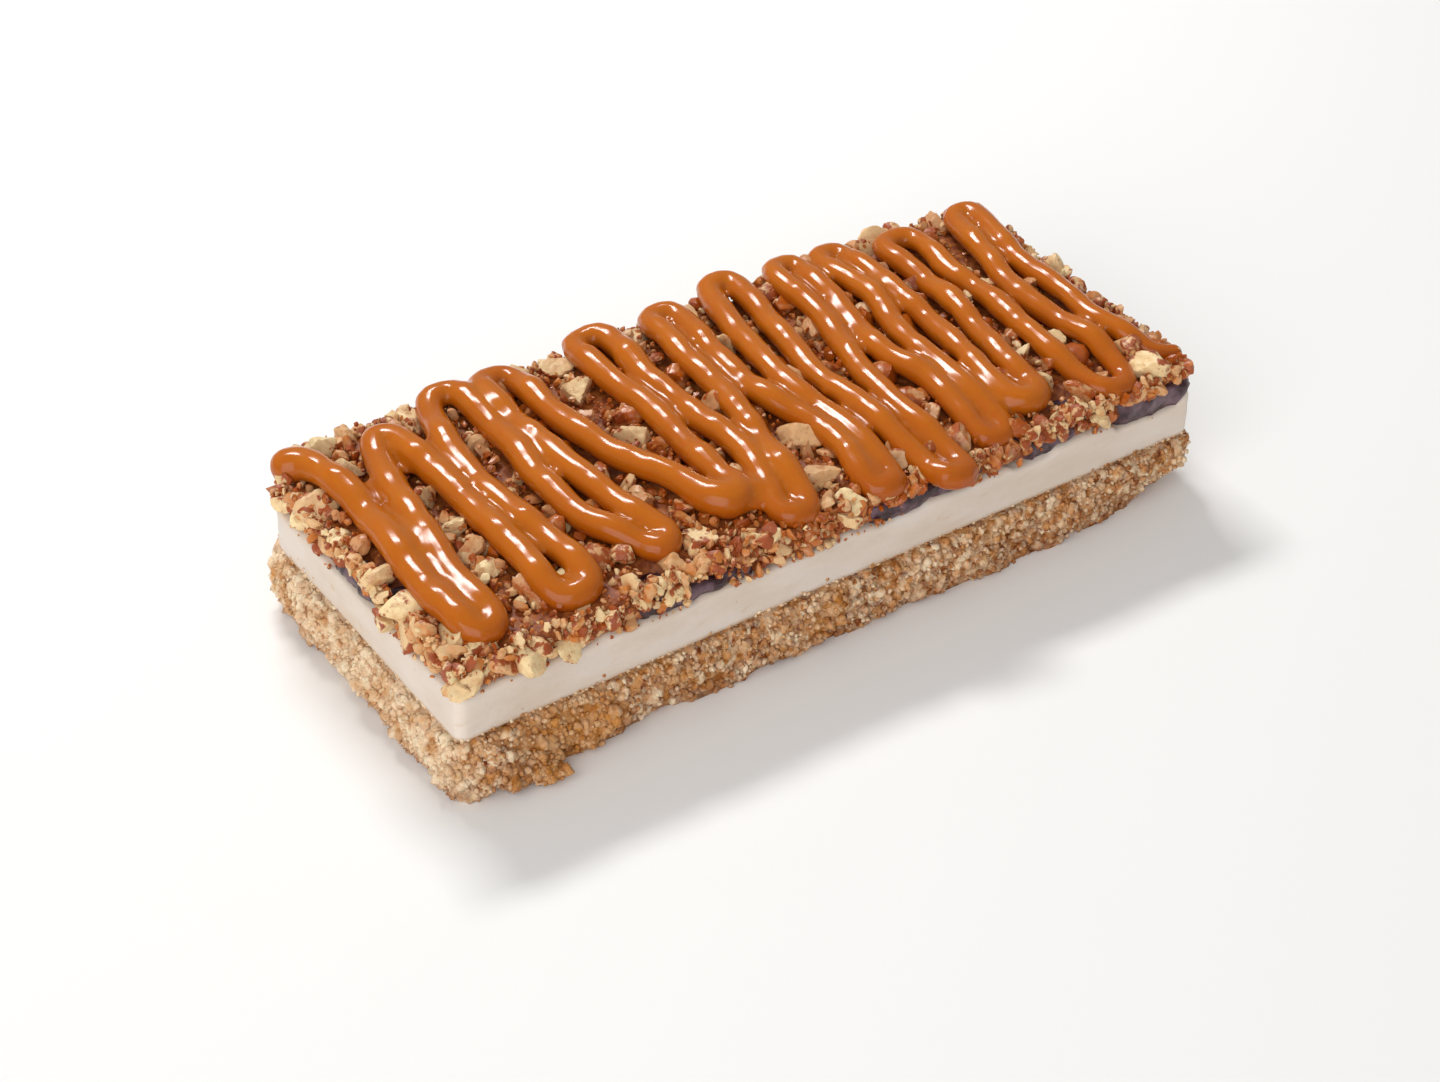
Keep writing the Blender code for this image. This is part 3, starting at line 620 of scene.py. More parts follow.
# Places left bare of nuts, down to the chocolate: x, y and radius
BARE_SPOTS = (
    (-56.0, 1.5, 2.6), (-55.5, -2.5, 2.8), (-54.2, -6.2, 2.6), (-27.2, -20.6, 2.4),
    (38.2, -19.6, 2.2), (45.5, -23.4, 2.2), (8.0, -24.6, 1.8), (28.6, -22.8, 1.6),
)
BARE_EASE = 0.6
BARE_SINK = 0.3


def bare(x, y):
    """1 in the middle of a bare spot, 0 outside them all."""
    reaches = [(radius, math.hypot(x - u, y - v)) for u, v, radius in BARE_SPOTS]
    return max(float(ease(radius, radius * BARE_EASE, away)) for radius, away in reaches)


def bed_height(x, y):
    mound = BED_TOP + waves(x, y, 0.0, BED_WAVES)
    return mound + (CHOCOLATE_TOP - BARE_SINK - mound) * bare(x, y)


def past_corner(x, y, radius):
    """True outside the slice's back left corner, which is rounded."""
    dx, dy = x - BACK_LEFT[0], y - BACK_LEFT[1]
    return dx < 0.0 and dy > 0.0 and math.hypot(dx, dy) > radius


# Nut dust soaked with caramel is rough and dark, with a dull shine in the hollows
nut_dust, tree = new_material("nut dust and skins")
place = add(tree, "TexCoord").outputs["Object"]
specks = add(tree, "TexNoise", {"Scale": fineness(BED_SPECKS), "Detail": 5.0}, {"Vector": place})
speckled = add(tree, "MapRange", {"From Min": 0.4, "From Max": 0.68}, {"Value": specks})
body = add(tree, "Mix", {6: linear(BED_BROWN), 7: linear(BED_TAN)}, {0: speckled}, data_type="RGBA")
bump = add(tree, "Bump", {"Strength": 0.8, "Distance": 0.4 * MM}, {"Height": specks})
looks = {"Base Color": body.outputs[2], "Normal": bump}
surface = add(tree, "BsdfPrincipled", {"Roughness": 0.55, "IOR": 1.47}, looks)
add(tree, "OutputMaterial", links={"Surface": surface})

columns = round((LENGTH - 2.0 * BED_INSET) / BED_FACE)
rows = round((WIDTH - 2.0 * BED_INSET) / BED_FACE)
bed_points = []
for j in range(rows + 1):
    for i in range(columns + 1):
        x = (i / columns - 0.5) * (LENGTH - 2.0 * BED_INSET)
        y = (j / rows - 0.5) * (WIDTH - 2.0 * BED_INSET)
        at_border = min(i, j, columns - i, rows - j) == 0
        z = CHOCOLATE_FOOT if at_border or past_corner(x, y, BED_CORNER) else bed_height(x, y)
        bed_points.append((x, y, z))
grid = np.arange((columns + 1) * (rows + 1)).reshape(rows + 1, columns + 1)
quads = np.stack([grid[:-1, :-1], grid[:-1, 1:], grid[1:, 1:], grid[1:, :-1]], -1).reshape(-1, 4)
make_piece("nut_bed", bed_points, halved(quads), nut_dust, "pecan_and_caramel", "pecan_topping")

# The pour's route, which the nuts keep clear of: x and y of its turns at the back and the front,
# with how far the strands run from a turn's middle, and where each strand crosses y = 10, 0, -10.
BACK_TURNS = (
    (-54.4, 20.6, 1.6), (-42.7, 18.9, 1.6), (-31.5, 23.0, 2.4), (-23.6, 22.8, 2.4),
    (-8.5, 24.0, 2.3), (2.9, 23.3, 2.0), (13.6, 25.0, 2.2), (23.5, 23.8, 2.0),
    (31.0, 23.3, 1.9), (40.9, 20.9, 2.5), (52.8, 21.2, 1.7),
)
FRONT_TURNS = (
    (-50.6, -20.3, 1.8), (-37.9, -20.4, 2.3), (-24.5, -18.6, 1.6), (-12.6, -16.0, 1.9),
    (-6.2, -22.0, 1.9), (6.4, -23.3, 1.7), (15.2, -26.2, 1.9), (24.9, -22.3, 1.8),
    (32.5, -19.5, 2.1), (45.0, -22.5, 2.7), (56.6, -20.4, 2.6),
)
CROSSINGS = (10.0, 0.0, -10.0)
STRANDS = (
    (-51.4, -52.0, -52.8), (-46.2, -47.6, -48.9), (-40.4, -40.2, -40.3), (-36.7, -36.9, -35.7),
    (-29.2, -30.2, -29.6), (-26.3, -25.9, -24.6), (-21.2, -19.5, -16.0), (-10.6, -10.4, -11.0),
    (-6.5, -6.1, -5.7), (-0.1, -0.9, -2.8), (3.6, 3.4, 6.0), (8.7, 7.5, 8.7),
    (13.7, 12.2, 12.9), (21.0, 18.4, 17.0), (24.2, 22.5, 24.0), (29.4, 27.1, 26.8),
    (32.8, 32.4, 30.8), (38.3, 37.4, 35.3), (42.5, 42.6, 41.7), (48.8, 47.0, 47.9),
    (52.6, 52.2, 51.8),
)
LOOP_DEPTH = 1.8
# Steps of the smooth curve from each guide point of a strand to the next
FINE_PIECES = (3, 8, 10, 10, 8, 3)


def route_guides():
    """Guide points of the whole pour: a turn, a shoulder, three crossings, a shoulder, a turn..."""
    guides = [BACK_TURNS[0][:2]]
    for number, crossings in enumerate(STRANDS):
        to_front = number % 2 == 0
        side = 1.0 if to_front else -1.0
        back_x, back_y, back_half = BACK_TURNS[(number + 1) // 2]
        front_x, front_y, front_half = FRONT_TURNS[number // 2]
        strand = [(back_x + side * back_half, back_y - LOOP_DEPTH), *zip(crossings, CROSSINGS)]
        strand.append((front_x - side * front_half, front_y + LOOP_DEPTH))
        guides += [*strand, (front_x, front_y)] if to_front else [*strand[::-1], (back_x, back_y)]
    return guides


def strand_paths():
    """The pour on one smooth curve through its guide points, as one path for each strand."""
    guides = [Vector(guide) for guide in route_guides()]
    ends = [2 * guides[0] - guides[1], *guides, 2 * guides[-1] - guides[-2]]
    paths, path = [], [guides[0]]
    for number, (a, b, c, d) in enumerate(zip(ends, ends[1:], ends[2:], ends[3:])):
        count = FINE_PIECES[number % len(FINE_PIECES)]
        for t in (i / count for i in range(1, count + 1)):
            bend = 2 * b + (c - a) * t + (2 * a - 5 * b + 4 * c - d) * t * t
            path.append((bend + (3 * b - a - 3 * c + d) * t * t * t) / 2.0)
        if number % len(FINE_PIECES) == len(FINE_PIECES) - 1:
            paths.append(path)
            path = [path[-1]]
    return paths


paths = strand_paths()
route = [point for number, path in enumerate(paths) for point in path[0 if number == 0 else 1 :]]
route_xy = np.array([tuple(point) for point in route])

# The chopped pecans. Kernels chopped by hand into pieces up to 8 mm, pale and waxy where they
# broke, with red-brown wrinkled skin on the outside, scattered over the chocolate and pressed in.
# Where the middle of each large piece lies, and its length
LARGE_PIECES = (
    (-54.8, 13.2, 19.0, 5.8), (-55.0, 6.3, 19.2, 4.6), (-55.4, -10.2, 18.6, 6.8),
    (-53.4, -17.3, 19.4, 6.6), (-51.6, -21.4, 19.0, 5.4), (-46.8, -24.8, 17.4, 5.8),
    (-42.6, -16.6, 19.6, 6.0), (-40.2, -24.0, 17.6, 4.6), (-48.4, 16.3, 20.0, 4.2),
    (-43.8, 6.1, 19.8, 5.2), (-43.2, -1.1, 19.8, 4.2), (-35.6, 22.0, 19.4, 5.4),
    (-31.2, -22.6, 18.4, 4.6), (-31.1, 3.7, 19.9, 5.4), (-27.8, -10.8, 19.8, 4.5),
    (-18.0, -12.9, 19.8, 4.8), (-18.2, -18.4, 19.2, 5.0), (-13.6, -22.4, 18.9, 5.0),
    (-15.5, 14.8, 20.0, 7.0), (-14.3, 22.4, 19.8, 6.0), (-11.8, 8.0, 19.8, 4.8),
    (-14.8, 2.9, 19.8, 5.0), (-2.5, 11.1, 20.0, 6.0), (-2.0, 2.3, 19.8, 5.8),
    (-1.4, 22.0, 19.6, 4.2), (2.2, -9.5, 19.9, 6.0), (0.4, -17.2, 19.6, 5.4),
    (0.6, -22.2, 18.9, 5.2), (10.6, -18.9, 19.5, 4.6), (12.3, -22.7, 19.0, 4.4),
    (12.0, -6.5, 19.8, 4.0), (18.9, 16.5, 20.0, 4.6), (19.3, 9.9, 19.9, 4.8),
    (27.3, 9.7, 19.8, 4.0), (37.2, -23.4, 19.0, 5.6), (39.8, -21.0, 19.8, 4.8), (40.2, -14.1, 19.8, 4.2),
    (40.1, -6.2, 19.8, 3.8), (48.8, 22.0, 19.8, 5.6), (51.8, -22.4, 19.5, 8.0),
    (55.0, -11.9, 19.8, 5.6), (-42.8, -25.2, 17.0, 4.4), (-57.0, -8.6, 16.6, 4.8),
)
STREWN_COUNT = 84
STREWN_SIZES = (5.6, 3.4)
STREWN_MIDDLE = 19.8
STREWN_CROWDING = 0.42
STREWN_CLEAR = 1.6
STREWN_INSET = 0.35
STREWN_TRIES = 90
HANG_OVER = 0.5
EDGE_STEP = 5.0
EDGE_MIDDLE = 17.6
EDGE_SIZES = (3.6, 5.2)
EDGE_OUT = -0.7
EDGE_UNEVEN = 0.4
WELL_SHORT = 0.7
# A cut face's depth as a share of the kernel's width, and what a face that never cuts it counts as
CUT_DEPTHS = (0.15, 0.38)
CUT_SIDEWAYS = 0.05
CUT_NEVER = 9.0
KERNEL_LUMPS = 5.0
KERNEL_CRACKS = 9.0
CRACK_DEPTH = 0.9
KERNEL_MIDDLE = 0.3
# How much skin the uncut outside keeps, on pieces with more and with less of it
SKIN_REACH = (0.86, 0.98)
SKIN_MORE = 0.62
SKIN_LESS = 0.2
SKIN_MORE_SHARE = 0.4
SKIN_FACE = 0.75
SKIN_FACE_SHARE = 0.35
SKIN_ALL = 0.5
PIECE_WIDTHS = (0.68, 0.9)
PIECE_HEIGHTS = (0.56, 0.76)
PIECE_GROWTH = 1.08
SHARP_CORNER = 32.0
PECAN_PALE = "#F4DCA8"
PECAN_TAN = "#C67630"
PECAN_SKIN = "#B0521C"
PECAN_SKIN_DARK = "#7A3414"
# The glazing colour, which also paints the shade on nuts between the strands
GLAZE_AND_SHADE = "#B05612"
PECAN_GRAIN = 1.43
PECAN_WRINKLES = 1.92
PECAN_FLECKS = 1.56
# How near the caramel the nuts take on its glazing, and where and how much painted shade darkens the nuts
# among the strands
GLAZED_REACH = (5.0, 1.7)
GLAZED_LEAN = 1.3
PAINTED_SHADE_GLAZE = 0.2
PAINTED_SHADE_TONE = 0.12
SHADE_LEFT = (-38.0, -26.0)
SHADE_RIGHT = (42.0, 30.0)
SHADE_FRONT = (20.0, 16.0)
SHADE_LEAST = 0.25


def near_route(x, y):
    return float(np.sqrt(((route_xy - (x, y)) ** 2).sum(1).min()))


def strewn_places(rng):
    """Places for the middle-sized pieces, apart from the large ones, each other and the caramel."""
    taken = [(x, y, size) for x, y, _, size in LARGE_PIECES]
    places = []
    for number in range(STREWN_COUNT):
        share = number / (STREWN_COUNT - 1)
        size = STREWN_SIZES[0] + (STREWN_SIZES[1] - STREWN_SIZES[0]) * share
        for _ in range(STREWN_TRIES):
            x = rng.uniform(-1.0, 1.0) * (LENGTH / 2.0 + HANG_OVER - size * STREWN_INSET)
            y = rng.uniform(-1.0, 1.0) * (WIDTH / 2.0 + HANG_OVER - size * STREWN_INSET)
            crowded = any(math.hypot(x - u, y - v) < STREWN_CROWDING * (size + w) for u, v, w in taken)
            if near_route(x, y) >= STREWN_CLEAR and not crowded:
                taken.append((x, y, size))
                places.append((x, y, STREWN_MIDDLE, size))
                break
    return places


def edge_places(rng):
    """Places for the pieces that hang over the cut sides, where the chocolate ends inside."""
    places = []
    for x, y, nx, ny in cut_outline(EDGE_STEP):
        if chocolate_reach(x, y, nx, ny) < -CHOCOLATE_SHORT * WELL_SHORT:
            out = EDGE_OUT + rng.uniform(-EDGE_UNEVEN, EDGE_UNEVEN)
            z = EDGE_MIDDLE + rng.uniform(-EDGE_UNEVEN, EDGE_UNEVEN)
            places.append((x + nx * out, y + ny * out, z, rng.uniform(*EDGE_SIZES)))
    return places


def chopped(rng, points, cuts, crumble):
    """A broken piece of kernel: the ball cut flat on several sides, rough where it broke. Gives
    the points, and for each how much of it is skin."""
    ways = []
    for _ in range(cuts):
        ways.append(Vector((rng.gauss(0, 1), rng.gauss(0, 1), rng.gauss(0, 1))).normalized())
    depths = np.array([rng.uniform(*CUT_DEPTHS) for _ in range(cuts)])
    ahead = (points * 2.0) @ np.array(ways).T
    limits = np.where(ahead > CUT_SIDEWAYS, depths / np.maximum(ahead, CUT_SIDEWAYS), CUT_NEVER)
    reach = np.minimum(limits.min(1), 0.5) * 2.0
    shift = random_shift(rng)
    lumps = np.array([noise.noise(Vector(p) * KERNEL_LUMPS + shift) for p in points])
    cracks = np.array([abs(noise.noise(Vector(p) * KERNEL_CRACKS + shift)) for p in points])
    rough = lumps - CRACK_DEPTH * cracks + KERNEL_MIDDLE
    outside = SKIN_MORE if rng.random() < SKIN_MORE_SHARE else SKIN_LESS
    has_skin_face = rng.random() < SKIN_FACE_SHARE
    skin = outside * ease(*SKIN_REACH, reach) + SKIN_FACE * (limits.argmin(1) == 0) * has_skin_face
    return points * (reach * (1.0 + crumble * rough))[:, None], np.minimum(skin, 1.0)


# Broken kernel is waxy and pale; the skin is papery red-brown; what caramel touched takes its glazing
# colour, which also serves as painted shade on the nuts between the strands
pecan, tree = new_material("chopped pecan kernel")
place = add(tree, "TexCoord").outputs["Object"]
tone = add(tree, "Attribute", attribute_name="tone").outputs["Fac"]
skin = add(tree, "Attribute", attribute_name="skin").outputs["Fac"]
glazed_and_shaded = add(tree, "Attribute", attribute_name="glazed_and_shaded").outputs["Fac"]
grained = {"Scale": fineness(PECAN_GRAIN), "Detail": 5.0, "Roughness": 0.6}
kernel_grain = add(tree, "TexNoise", grained, {"Vector": place})
span = {"From Min": 0.3, "From Max": 0.7, "To Min": -0.4, "To Max": 0.4}
spots_in = add(tree, "MapRange", span, {"Value": kernel_grain})
shade = add(tree, "Math", links={0: tone, 1: spots_in}, operation="ADD", use_clamp=True)
flesh = add(tree, "Mix", {6: linear(PECAN_TAN), 7: linear(PECAN_PALE)}, {0: shade}, data_type="RGBA")
wrinkled = {"Scale": fineness(PECAN_WRINKLES), "Detail": 3.0, "Distortion": 1.2}
wrinkles = add(tree, "TexNoise", wrinkled, {"Vector": place})
skins = {6: linear(PECAN_SKIN_DARK), 7: linear(PECAN_SKIN)}
husk = add(tree, "Mix", skins, {0: wrinkles}, data_type="RGBA")
flecked = {"Scale": fineness(PECAN_FLECKS), "Detail": 4.0, "Roughness": 0.6}
flecks = add(tree, "TexNoise", flecked, {"Vector": place})
span = {"From Min": 0.3, "From Max": 0.7, "To Min": -0.45, "To Max": 0.75}
spots_on = add(tree, "MapRange", span, {"Value": flecks})
torn = add(tree, "Math", links={0: skin, 1: spots_on}, operation="ADD")
edge = add(tree, "MapRange", {"From Min": 0.5, "From Max": 0.75}, {"Value": torn})
kernel = add(tree, "Mix", links={0: edge, 6: flesh.outputs[2], 7: husk.outputs[2]}, data_type="RGBA")
# The glazing and the painted shade between the strands, with the grain, set how much glazing colour is mixed
# in
coat_and_shade = add(tree, "Math", links={0: glazed_and_shaded, 1: spots_in}, operation="ADD", use_clamp=True)
coated_and_shaded = add(tree, "Mix", {7: linear(GLAZE_AND_SHADE)}, {0: coat_and_shade, 6: kernel.outputs[2]}, data_type="RGBA")
dull = add(tree, "MapRange", {"To Min": 0.52, "To Max": 0.2}, {"Value": coat_and_shade})
bump = add(tree, "Bump", {"Strength": 0.5, "Distance": 0.3 * MM}, {"Height": kernel_grain})
surface = add(
    tree, "BsdfPrincipled",
    {
        "IOR": 1.47, "Subsurface Weight": 0.15,
        "Subsurface Radius": (1.0, 0.65, 0.4), "Subsurface Scale": 1.0 * MM,
    },
    {"Base Color": coated_and_shaded.outputs[2], "Roughness": dull, "Normal": bump},
)
add(tree, "OutputMaterial", links={"Surface": surface})

rng = random.Random(7)


def shade_between_strands(x, y):
    """How much painted shade falls on the nuts among the caramel strands: most between the strands in the
    slice's middle.
    """
    middle = ease(*SHADE_LEFT, x) * ease(*SHADE_RIGHT, x)
    return float(middle * (SHADE_LEAST + (1.0 - SHADE_LEAST) * ease(*SHADE_FRONT, abs(y))))


def make_pecans(name, places, detail, kinds, cuts, crumble, tilt, tones, skinned):
    """A piece of chopped kernels, one at each place, each with its own tone and skin, its caramel glazing,
    and painted shade where it lies between the strands.
    """
    points, ball_faces = ball(detail)
    shapes = [chopped(rng, points, cuts, crumble) for _ in range(kinds)]
    order = [rng.randrange(kinds) for _ in places]
    all_points, marks = [], {"tone": [], "skin": [], "glazed_and_shaded": []}
    for kind, (x, y, z, size) in zip(order, places):
        scale = (1.0, rng.uniform(*PIECE_WIDTHS), rng.uniform(*PIECE_HEIGHTS))
        turn = Euler((rng.gauss(0.0, tilt), rng.gauss(0.0, tilt), rng.uniform(0.0, FULL_TURN)))
        shape = shapes[kind][0] * np.array(scale) * size * PIECE_GROWTH
        all_points.append(shape @ np.array(turn.to_matrix()).T + np.array((x, y, z)))
        # Glazing near the caramel is real; painted shade between the strands adds to it and lowers the tone
        glaze_and_shade = float(ease(*GLAZED_REACH, near_route(x, y))) * rng.random() ** GLAZED_LEAN
        glaze_and_shade += PAINTED_SHADE_GLAZE * shade_between_strands(x, y)
        marks["tone"] += [rng.uniform(*tones) - PAINTED_SHADE_TONE * shade_between_strands(x, y)] * len(points)
        all_over = SKIN_ALL if rng.random() < skinned else 0.0
        marks["skin"] += list(shapes[kind][1] + all_over)
        marks["glazed_and_shaded"] += [glaze_and_shade] * len(points)
    faces = repeated(ball_faces, len(places), len(points))
    placed = inside(np.concatenate(all_points), "pecan_topping")
    piece = make_piece(name, placed, faces, pecan, "pecan_and_caramel", "pecan_topping", **marks)
    piece.data.set_sharp_from_angle(angle=math.radians(SHARP_CORNER))


strewn = strewn_places(random.Random(7))
hung = edge_places(random.Random(8))
make_pecans(
    "pecans_large", LARGE_PIECES, detail=4, kinds=len(LARGE_PIECES), cuts=8, crumble=0.11,
    tilt=0.35, tones=(0.7, 1.1), skinned=0.05,
)
make_pecans(
    "pecans_middling", [*strewn, *hung], detail=3, kinds=60, cuts=7, crumble=0.12,
    tilt=0.5, tones=(0.4, 1.1), skinned=0.12,
)

# The small chips and the dust. They lie all over the bed and down its cut sides, except along the
# stretches of the front where the chocolate's edge stays clean, and a few slipped onto the cream.
CHIPS = 2200
CHIP_SIZES = (1.2, 3.2)
CHIP_LIFT = (0.1, 1.1)
DUST = 4600
DUST_SIZES = (0.5, 1.2)
DUST_LIFT = (0.1, 1.6)
MOSTLY_SMALL = 1.6
AT_SIDES = 0.38
SIDE_STEP = 1.0
SIDE_OUT = (-1.7, -0.3)
SIDE_TOP = 19.6
SIDE_LOW_CLEAN = 18.2
SIDE_LOW_SHORT = 16.2
SIDE_LOW = 17.4
SHORT_SHARE = 0.5
PATCHY = (4.0, 17)
PATCHY_OVER = -0.1
CLEAN_EDGES = ((8.0, 18.0), (31.0, 37.0), (43.5, 48.5), (52.5, 58.0), (-25.0, -19.0))
CLEAN_LEFT = (-7.0, 5.0)
SLIPPED_X = (-36.0, 6.0)
SLIPPED_MORE = 0.16
SLIPPED_FEW = 0.04
SLIPPED_SIZE = 0.7
SLIPPED_FROM = 16.0
SLIPPED_DOWN = 1.6
SLIPPED_OUT = 0.05
ROUTE_CLEAR = 1.5
CHIP_CORNER = 6.5
outline = cut_outline(SIDE_STEP)
topping_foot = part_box("pecan_topping")[0][2] / MM


def place_at_side(size):
    """A place on the bed's cut side, or now and then on the cream below it."""
    x, y, nx, ny = outline[rng.randrange(len(outline))]
    clean_front = ny < 0.0 and any(start < x < end for start, end in CLEAN_EDGES)
    clean = clean_front or nx < -FACING and CLEAN_LEFT[0] < y < CLEAN_LEFT[1]
    short = chocolate_reach(x, y, nx, ny) < -CHOCOLATE_SHORT * SHORT_SHARE
    short = short or wave(x, y, 0.0, *PATCHY) > PATCHY_OVER
    out = rng.uniform(*SIDE_OUT)
    z = rng.uniform(SIDE_LOW_CLEAN if clean else SIDE_LOW_SHORT if short else SIDE_LOW, SIDE_TOP)
    slipping = SLIPPED_MORE if ny < 0.0 and SLIPPED_X[0] < x < SLIPPED_X[1] else SLIPPED_FEW
    if rng.random() < slipping and not clean:
        size *= SLIPPED_SIZE
        z = max(SLIPPED_FROM - abs(rng.gauss(0.0, SLIPPED_DOWN)), topping_foot + size * 0.5)
        out = SLIPPED_OUT
    return (x + nx * out, y + ny * out, z, size)


def loose_places(count, sizes, lift):
    """Places for small chips all over the bed and down its sides, out from under the caramel."""
    places = []
    while len(places) < count:
        size = mostly_small(rng, sizes, MOSTLY_SMALL)
        if rng.random() < AT_SIDES:
            places.append(place_at_side(size))
            continue
        x = rng.uniform(-1.0, 1.0) * (LENGTH / 2.0 - BED_INSET)
        y = rng.uniform(-1.0, 1.0) * (WIDTH / 2.0 - BED_INSET)
        if near_route(x, y) < ROUTE_CLEAR or past_corner(x, y, CHIP_CORNER):
            continue
        if bare(x, y) > rng.random():
            continue
        places.append((x, y, bed_height(x, y) + rng.uniform(*lift), size))
    return places


make_pecans(
    "pecan_chips", loose_places(CHIPS, CHIP_SIZES, CHIP_LIFT), detail=2, kinds=90, cuts=6, crumble=0.14,
    tilt=1.2, tones=(0.0, 1.0), skinned=0.26,
)
make_pecans(
    "pecan_dust", loose_places(DUST, DUST_SIZES, DUST_LIFT), detail=1, kinds=30, cuts=4, crumble=0.2,
    tilt=3.0, tones=(-0.1, 0.7), skinned=0.42,
)

# The caramel. Thick caramel poured from a jug in one go, back and forth over the nuts, so that it
# set as one glossy rope 4 mm wide, which sags into the gaps and runs together at the turns.
STRAND_RADII = (2.08, 1.72)
STRAND_HEIGHT = 21.25
STRAND_FLATNESS = 0.9
STRAND_SWAY = ((0.3, 7.0, 14),)
STRAND_HUMPS = ((0.75, 8.0, 12), (0.3, 3.4, 18))
STRAND_SWELLS = ((0.14, 6.0, 13), (0.08, 2.8, 19))
FRONT_SINK = (-12.0, -23.0, 1.5)
BACK_SINK = (17.0, 23.0, 0.5)
BLOBS = {3: 1.35, 8: 1.25}
BLOB_SHARES = (0.75, 0.95)
START_RADIUS = 2.6
START_SHARES = (0.16, 0.0)
TAIL_RADIUS = 1.3
TAIL_SHARES = (0.8, 1.0)
ROPE_SIDES = 14
ROPE_FACE = 0.4
ROPE_SOFTENING = 6
# The round ends: how far out each ring is and how wide, as shares of the radius
END_RINGS = ((0.45, 0.893), (0.8, 0.6), (0.96, 0.28))
CARAMEL_AMBER = "#C36E12"
CARAMEL_DEEP_AND_SHADE = "#A24A0C"
CARAMEL_SWIRL = 6.67
CARAMEL_FLOW = 3.85
SWIRL_SHARE = 0.45
# Painted shade: the caramel darkens from the first height down to the second, into the crevices between
# strands and nuts
PAINTED_SHADE_HEIGHTS = (23.2, 18.8)


def strand_height(x, y):
    """Height of the middle of the rope: it sags between nuts and over the edges."""
    front = FRONT_SINK[2] * ease(FRONT_SINK[0], FRONT_SINK[1], y)
    back = BACK_SINK[2] * ease(BACK_SINK[0], BACK_SINK[1], y)
    return STRAND_HEIGHT - front - back + waves(x, y, 0.0, STRAND_HUMPS)


def strand_radius(number, share, x, y):
    """The rope's radius: uneven, fat at its start and at the blobs, and thin at the tail."""
    radius = STRAND_RADII[0] + (STRAND_RADII[1] - STRAND_RADII[0]) * (x / LENGTH + 0.5)
    radius *= 1.0 + waves(x, y, 0.0, STRAND_SWELLS)
    at_front = share if number % 2 == 0 else 1.0 - share
    radius *= 1.0 + (BLOBS.get(number // 2, 1.0) - 1.0) * ease(*BLOB_SHARES, at_front)
    if number == 0:
        radius += (START_RADIUS - radius) * ease(*START_SHARES, share)
    if number == len(STRANDS) - 1:
        radius += (TAIL_RADIUS - radius) * ease(*TAIL_SHARES, share)
    return float(radius)


# Caramel is a glossy, slightly cloudy syrup: amber, with swirls of deep orange-brown, and painted shade that
# turns it deep orange-brown lower down, between the strands and nuts
caramel, tree = new_material("poured caramel")
place = add(tree, "TexCoord").outputs["Object"]
height = add(tree, "SeparateXYZ", links={"Vector": place}).outputs["Z"]
# Painted shade: lower caramel is painted deeper, standing in for shade in the crevices
low = add(tree, "MapRange", {**between(*PAINTED_SHADE_HEIGHTS), "To Max": 0.7}, {"Value": height})
swirl = add(tree, "TexNoise", {"Scale": fineness(CARAMEL_SWIRL), "Detail": 2.0}, {"Vector": place})
swirled = add(tree, "Math", {1: SWIRL_SHARE}, {0: swirl}, operation="MULTIPLY")
swirl_and_shade = add(tree, "Math", links={0: low, 1: swirled}, operation="ADD", use_clamp=True)
body = add(tree, "Mix", {6: linear(CARAMEL_AMBER), 7: linear(CARAMEL_DEEP_AND_SHADE)}, {0: swirl_and_shade}, data_type="RGBA")
flow = add(tree, "TexNoise", {"Scale": fineness(CARAMEL_FLOW), "Detail": 1.0}, {"Vector": place})
bump = add(tree, "Bump", {"Strength": 0.07, "Distance": 0.5 * MM}, {"Height": flow})
surface = add(
    tree, "BsdfPrincipled",
    {
        "Roughness": 0.16, "IOR": 1.5, "Specular IOR Level": 0.3,
        "Subsurface Weight": 0.5, "Subsurface Radius": (1.0, 0.35, 0.08), "Subsurface Scale": 1.5 * MM,
    },
    {"Base Color": body.outputs[2], "Normal": bump},
)
add(tree, "OutputMaterial", links={"Surface": surface})

rope_points, rope_faces = [], []


def add_tube(spots, heights, halves, rises):
    """A closed round-ended tube along the spots, as wide and as high there as the numbers say."""
    last = len(spots) - 1
    ways = [(spots[min(i + 1, last)] - spots[max(i - 1, 0)]).normalized() for i in range(last + 1)]
    stations = [(0, -push, shrink) for push, shrink in END_RINGS[::-1]]
    stations += [(i, 0.0, 1.0) for i in range(last + 1)]
    stations += [(last, push, shrink) for push, shrink in END_RINGS]
    start = len(rope_points)
    for i, push, shrink in stations:
        spot = spots[i] + ways[i] * push * halves[i]
        for side in range(ROPE_SIDES):
            angle = 2.0 * math.pi * side / ROPE_SIDES
            out = math.cos(angle) * halves[i] * shrink
            rise = math.sin(angle) * rises[i] * shrink
            rope_points.append((spot.x + ways[i].y * out, spot.y - ways[i].x * out, heights[i] + rise))
    for ring in range(len(stations) - 1):
        for side in range(ROPE_SIDES):
            a = start + ring * ROPE_SIDES + side
            b = start + ring * ROPE_SIDES + (side + 1) % ROPE_SIDES
            rope_faces.append((a, a + ROPE_SIDES, b + ROPE_SIDES, b))
    end = len(rope_points) - ROPE_SIDES
    rope_faces.append(tuple(range(start, start + ROPE_SIDES)))
    rope_faces.append(tuple(range(end, end + ROPE_SIDES))[::-1])


strands = []
for number, path in enumerate(paths):
    last = len(path) - 1
    radii = [strand_radius(number, i / last, *path[i]) for i in range(last + 1)]
    spots = [p + Vector((waves(p.x, p.y, 0.0, STRAND_SWAY), 0.0)) for p in path]
    heights = [float(strand_height(p.x, p.y)) for p in spots]
    add_tube(spots, heights, radii, [radius * STRAND_FLATNESS for radius in radii])
    strands.append((spots, heights, radii))

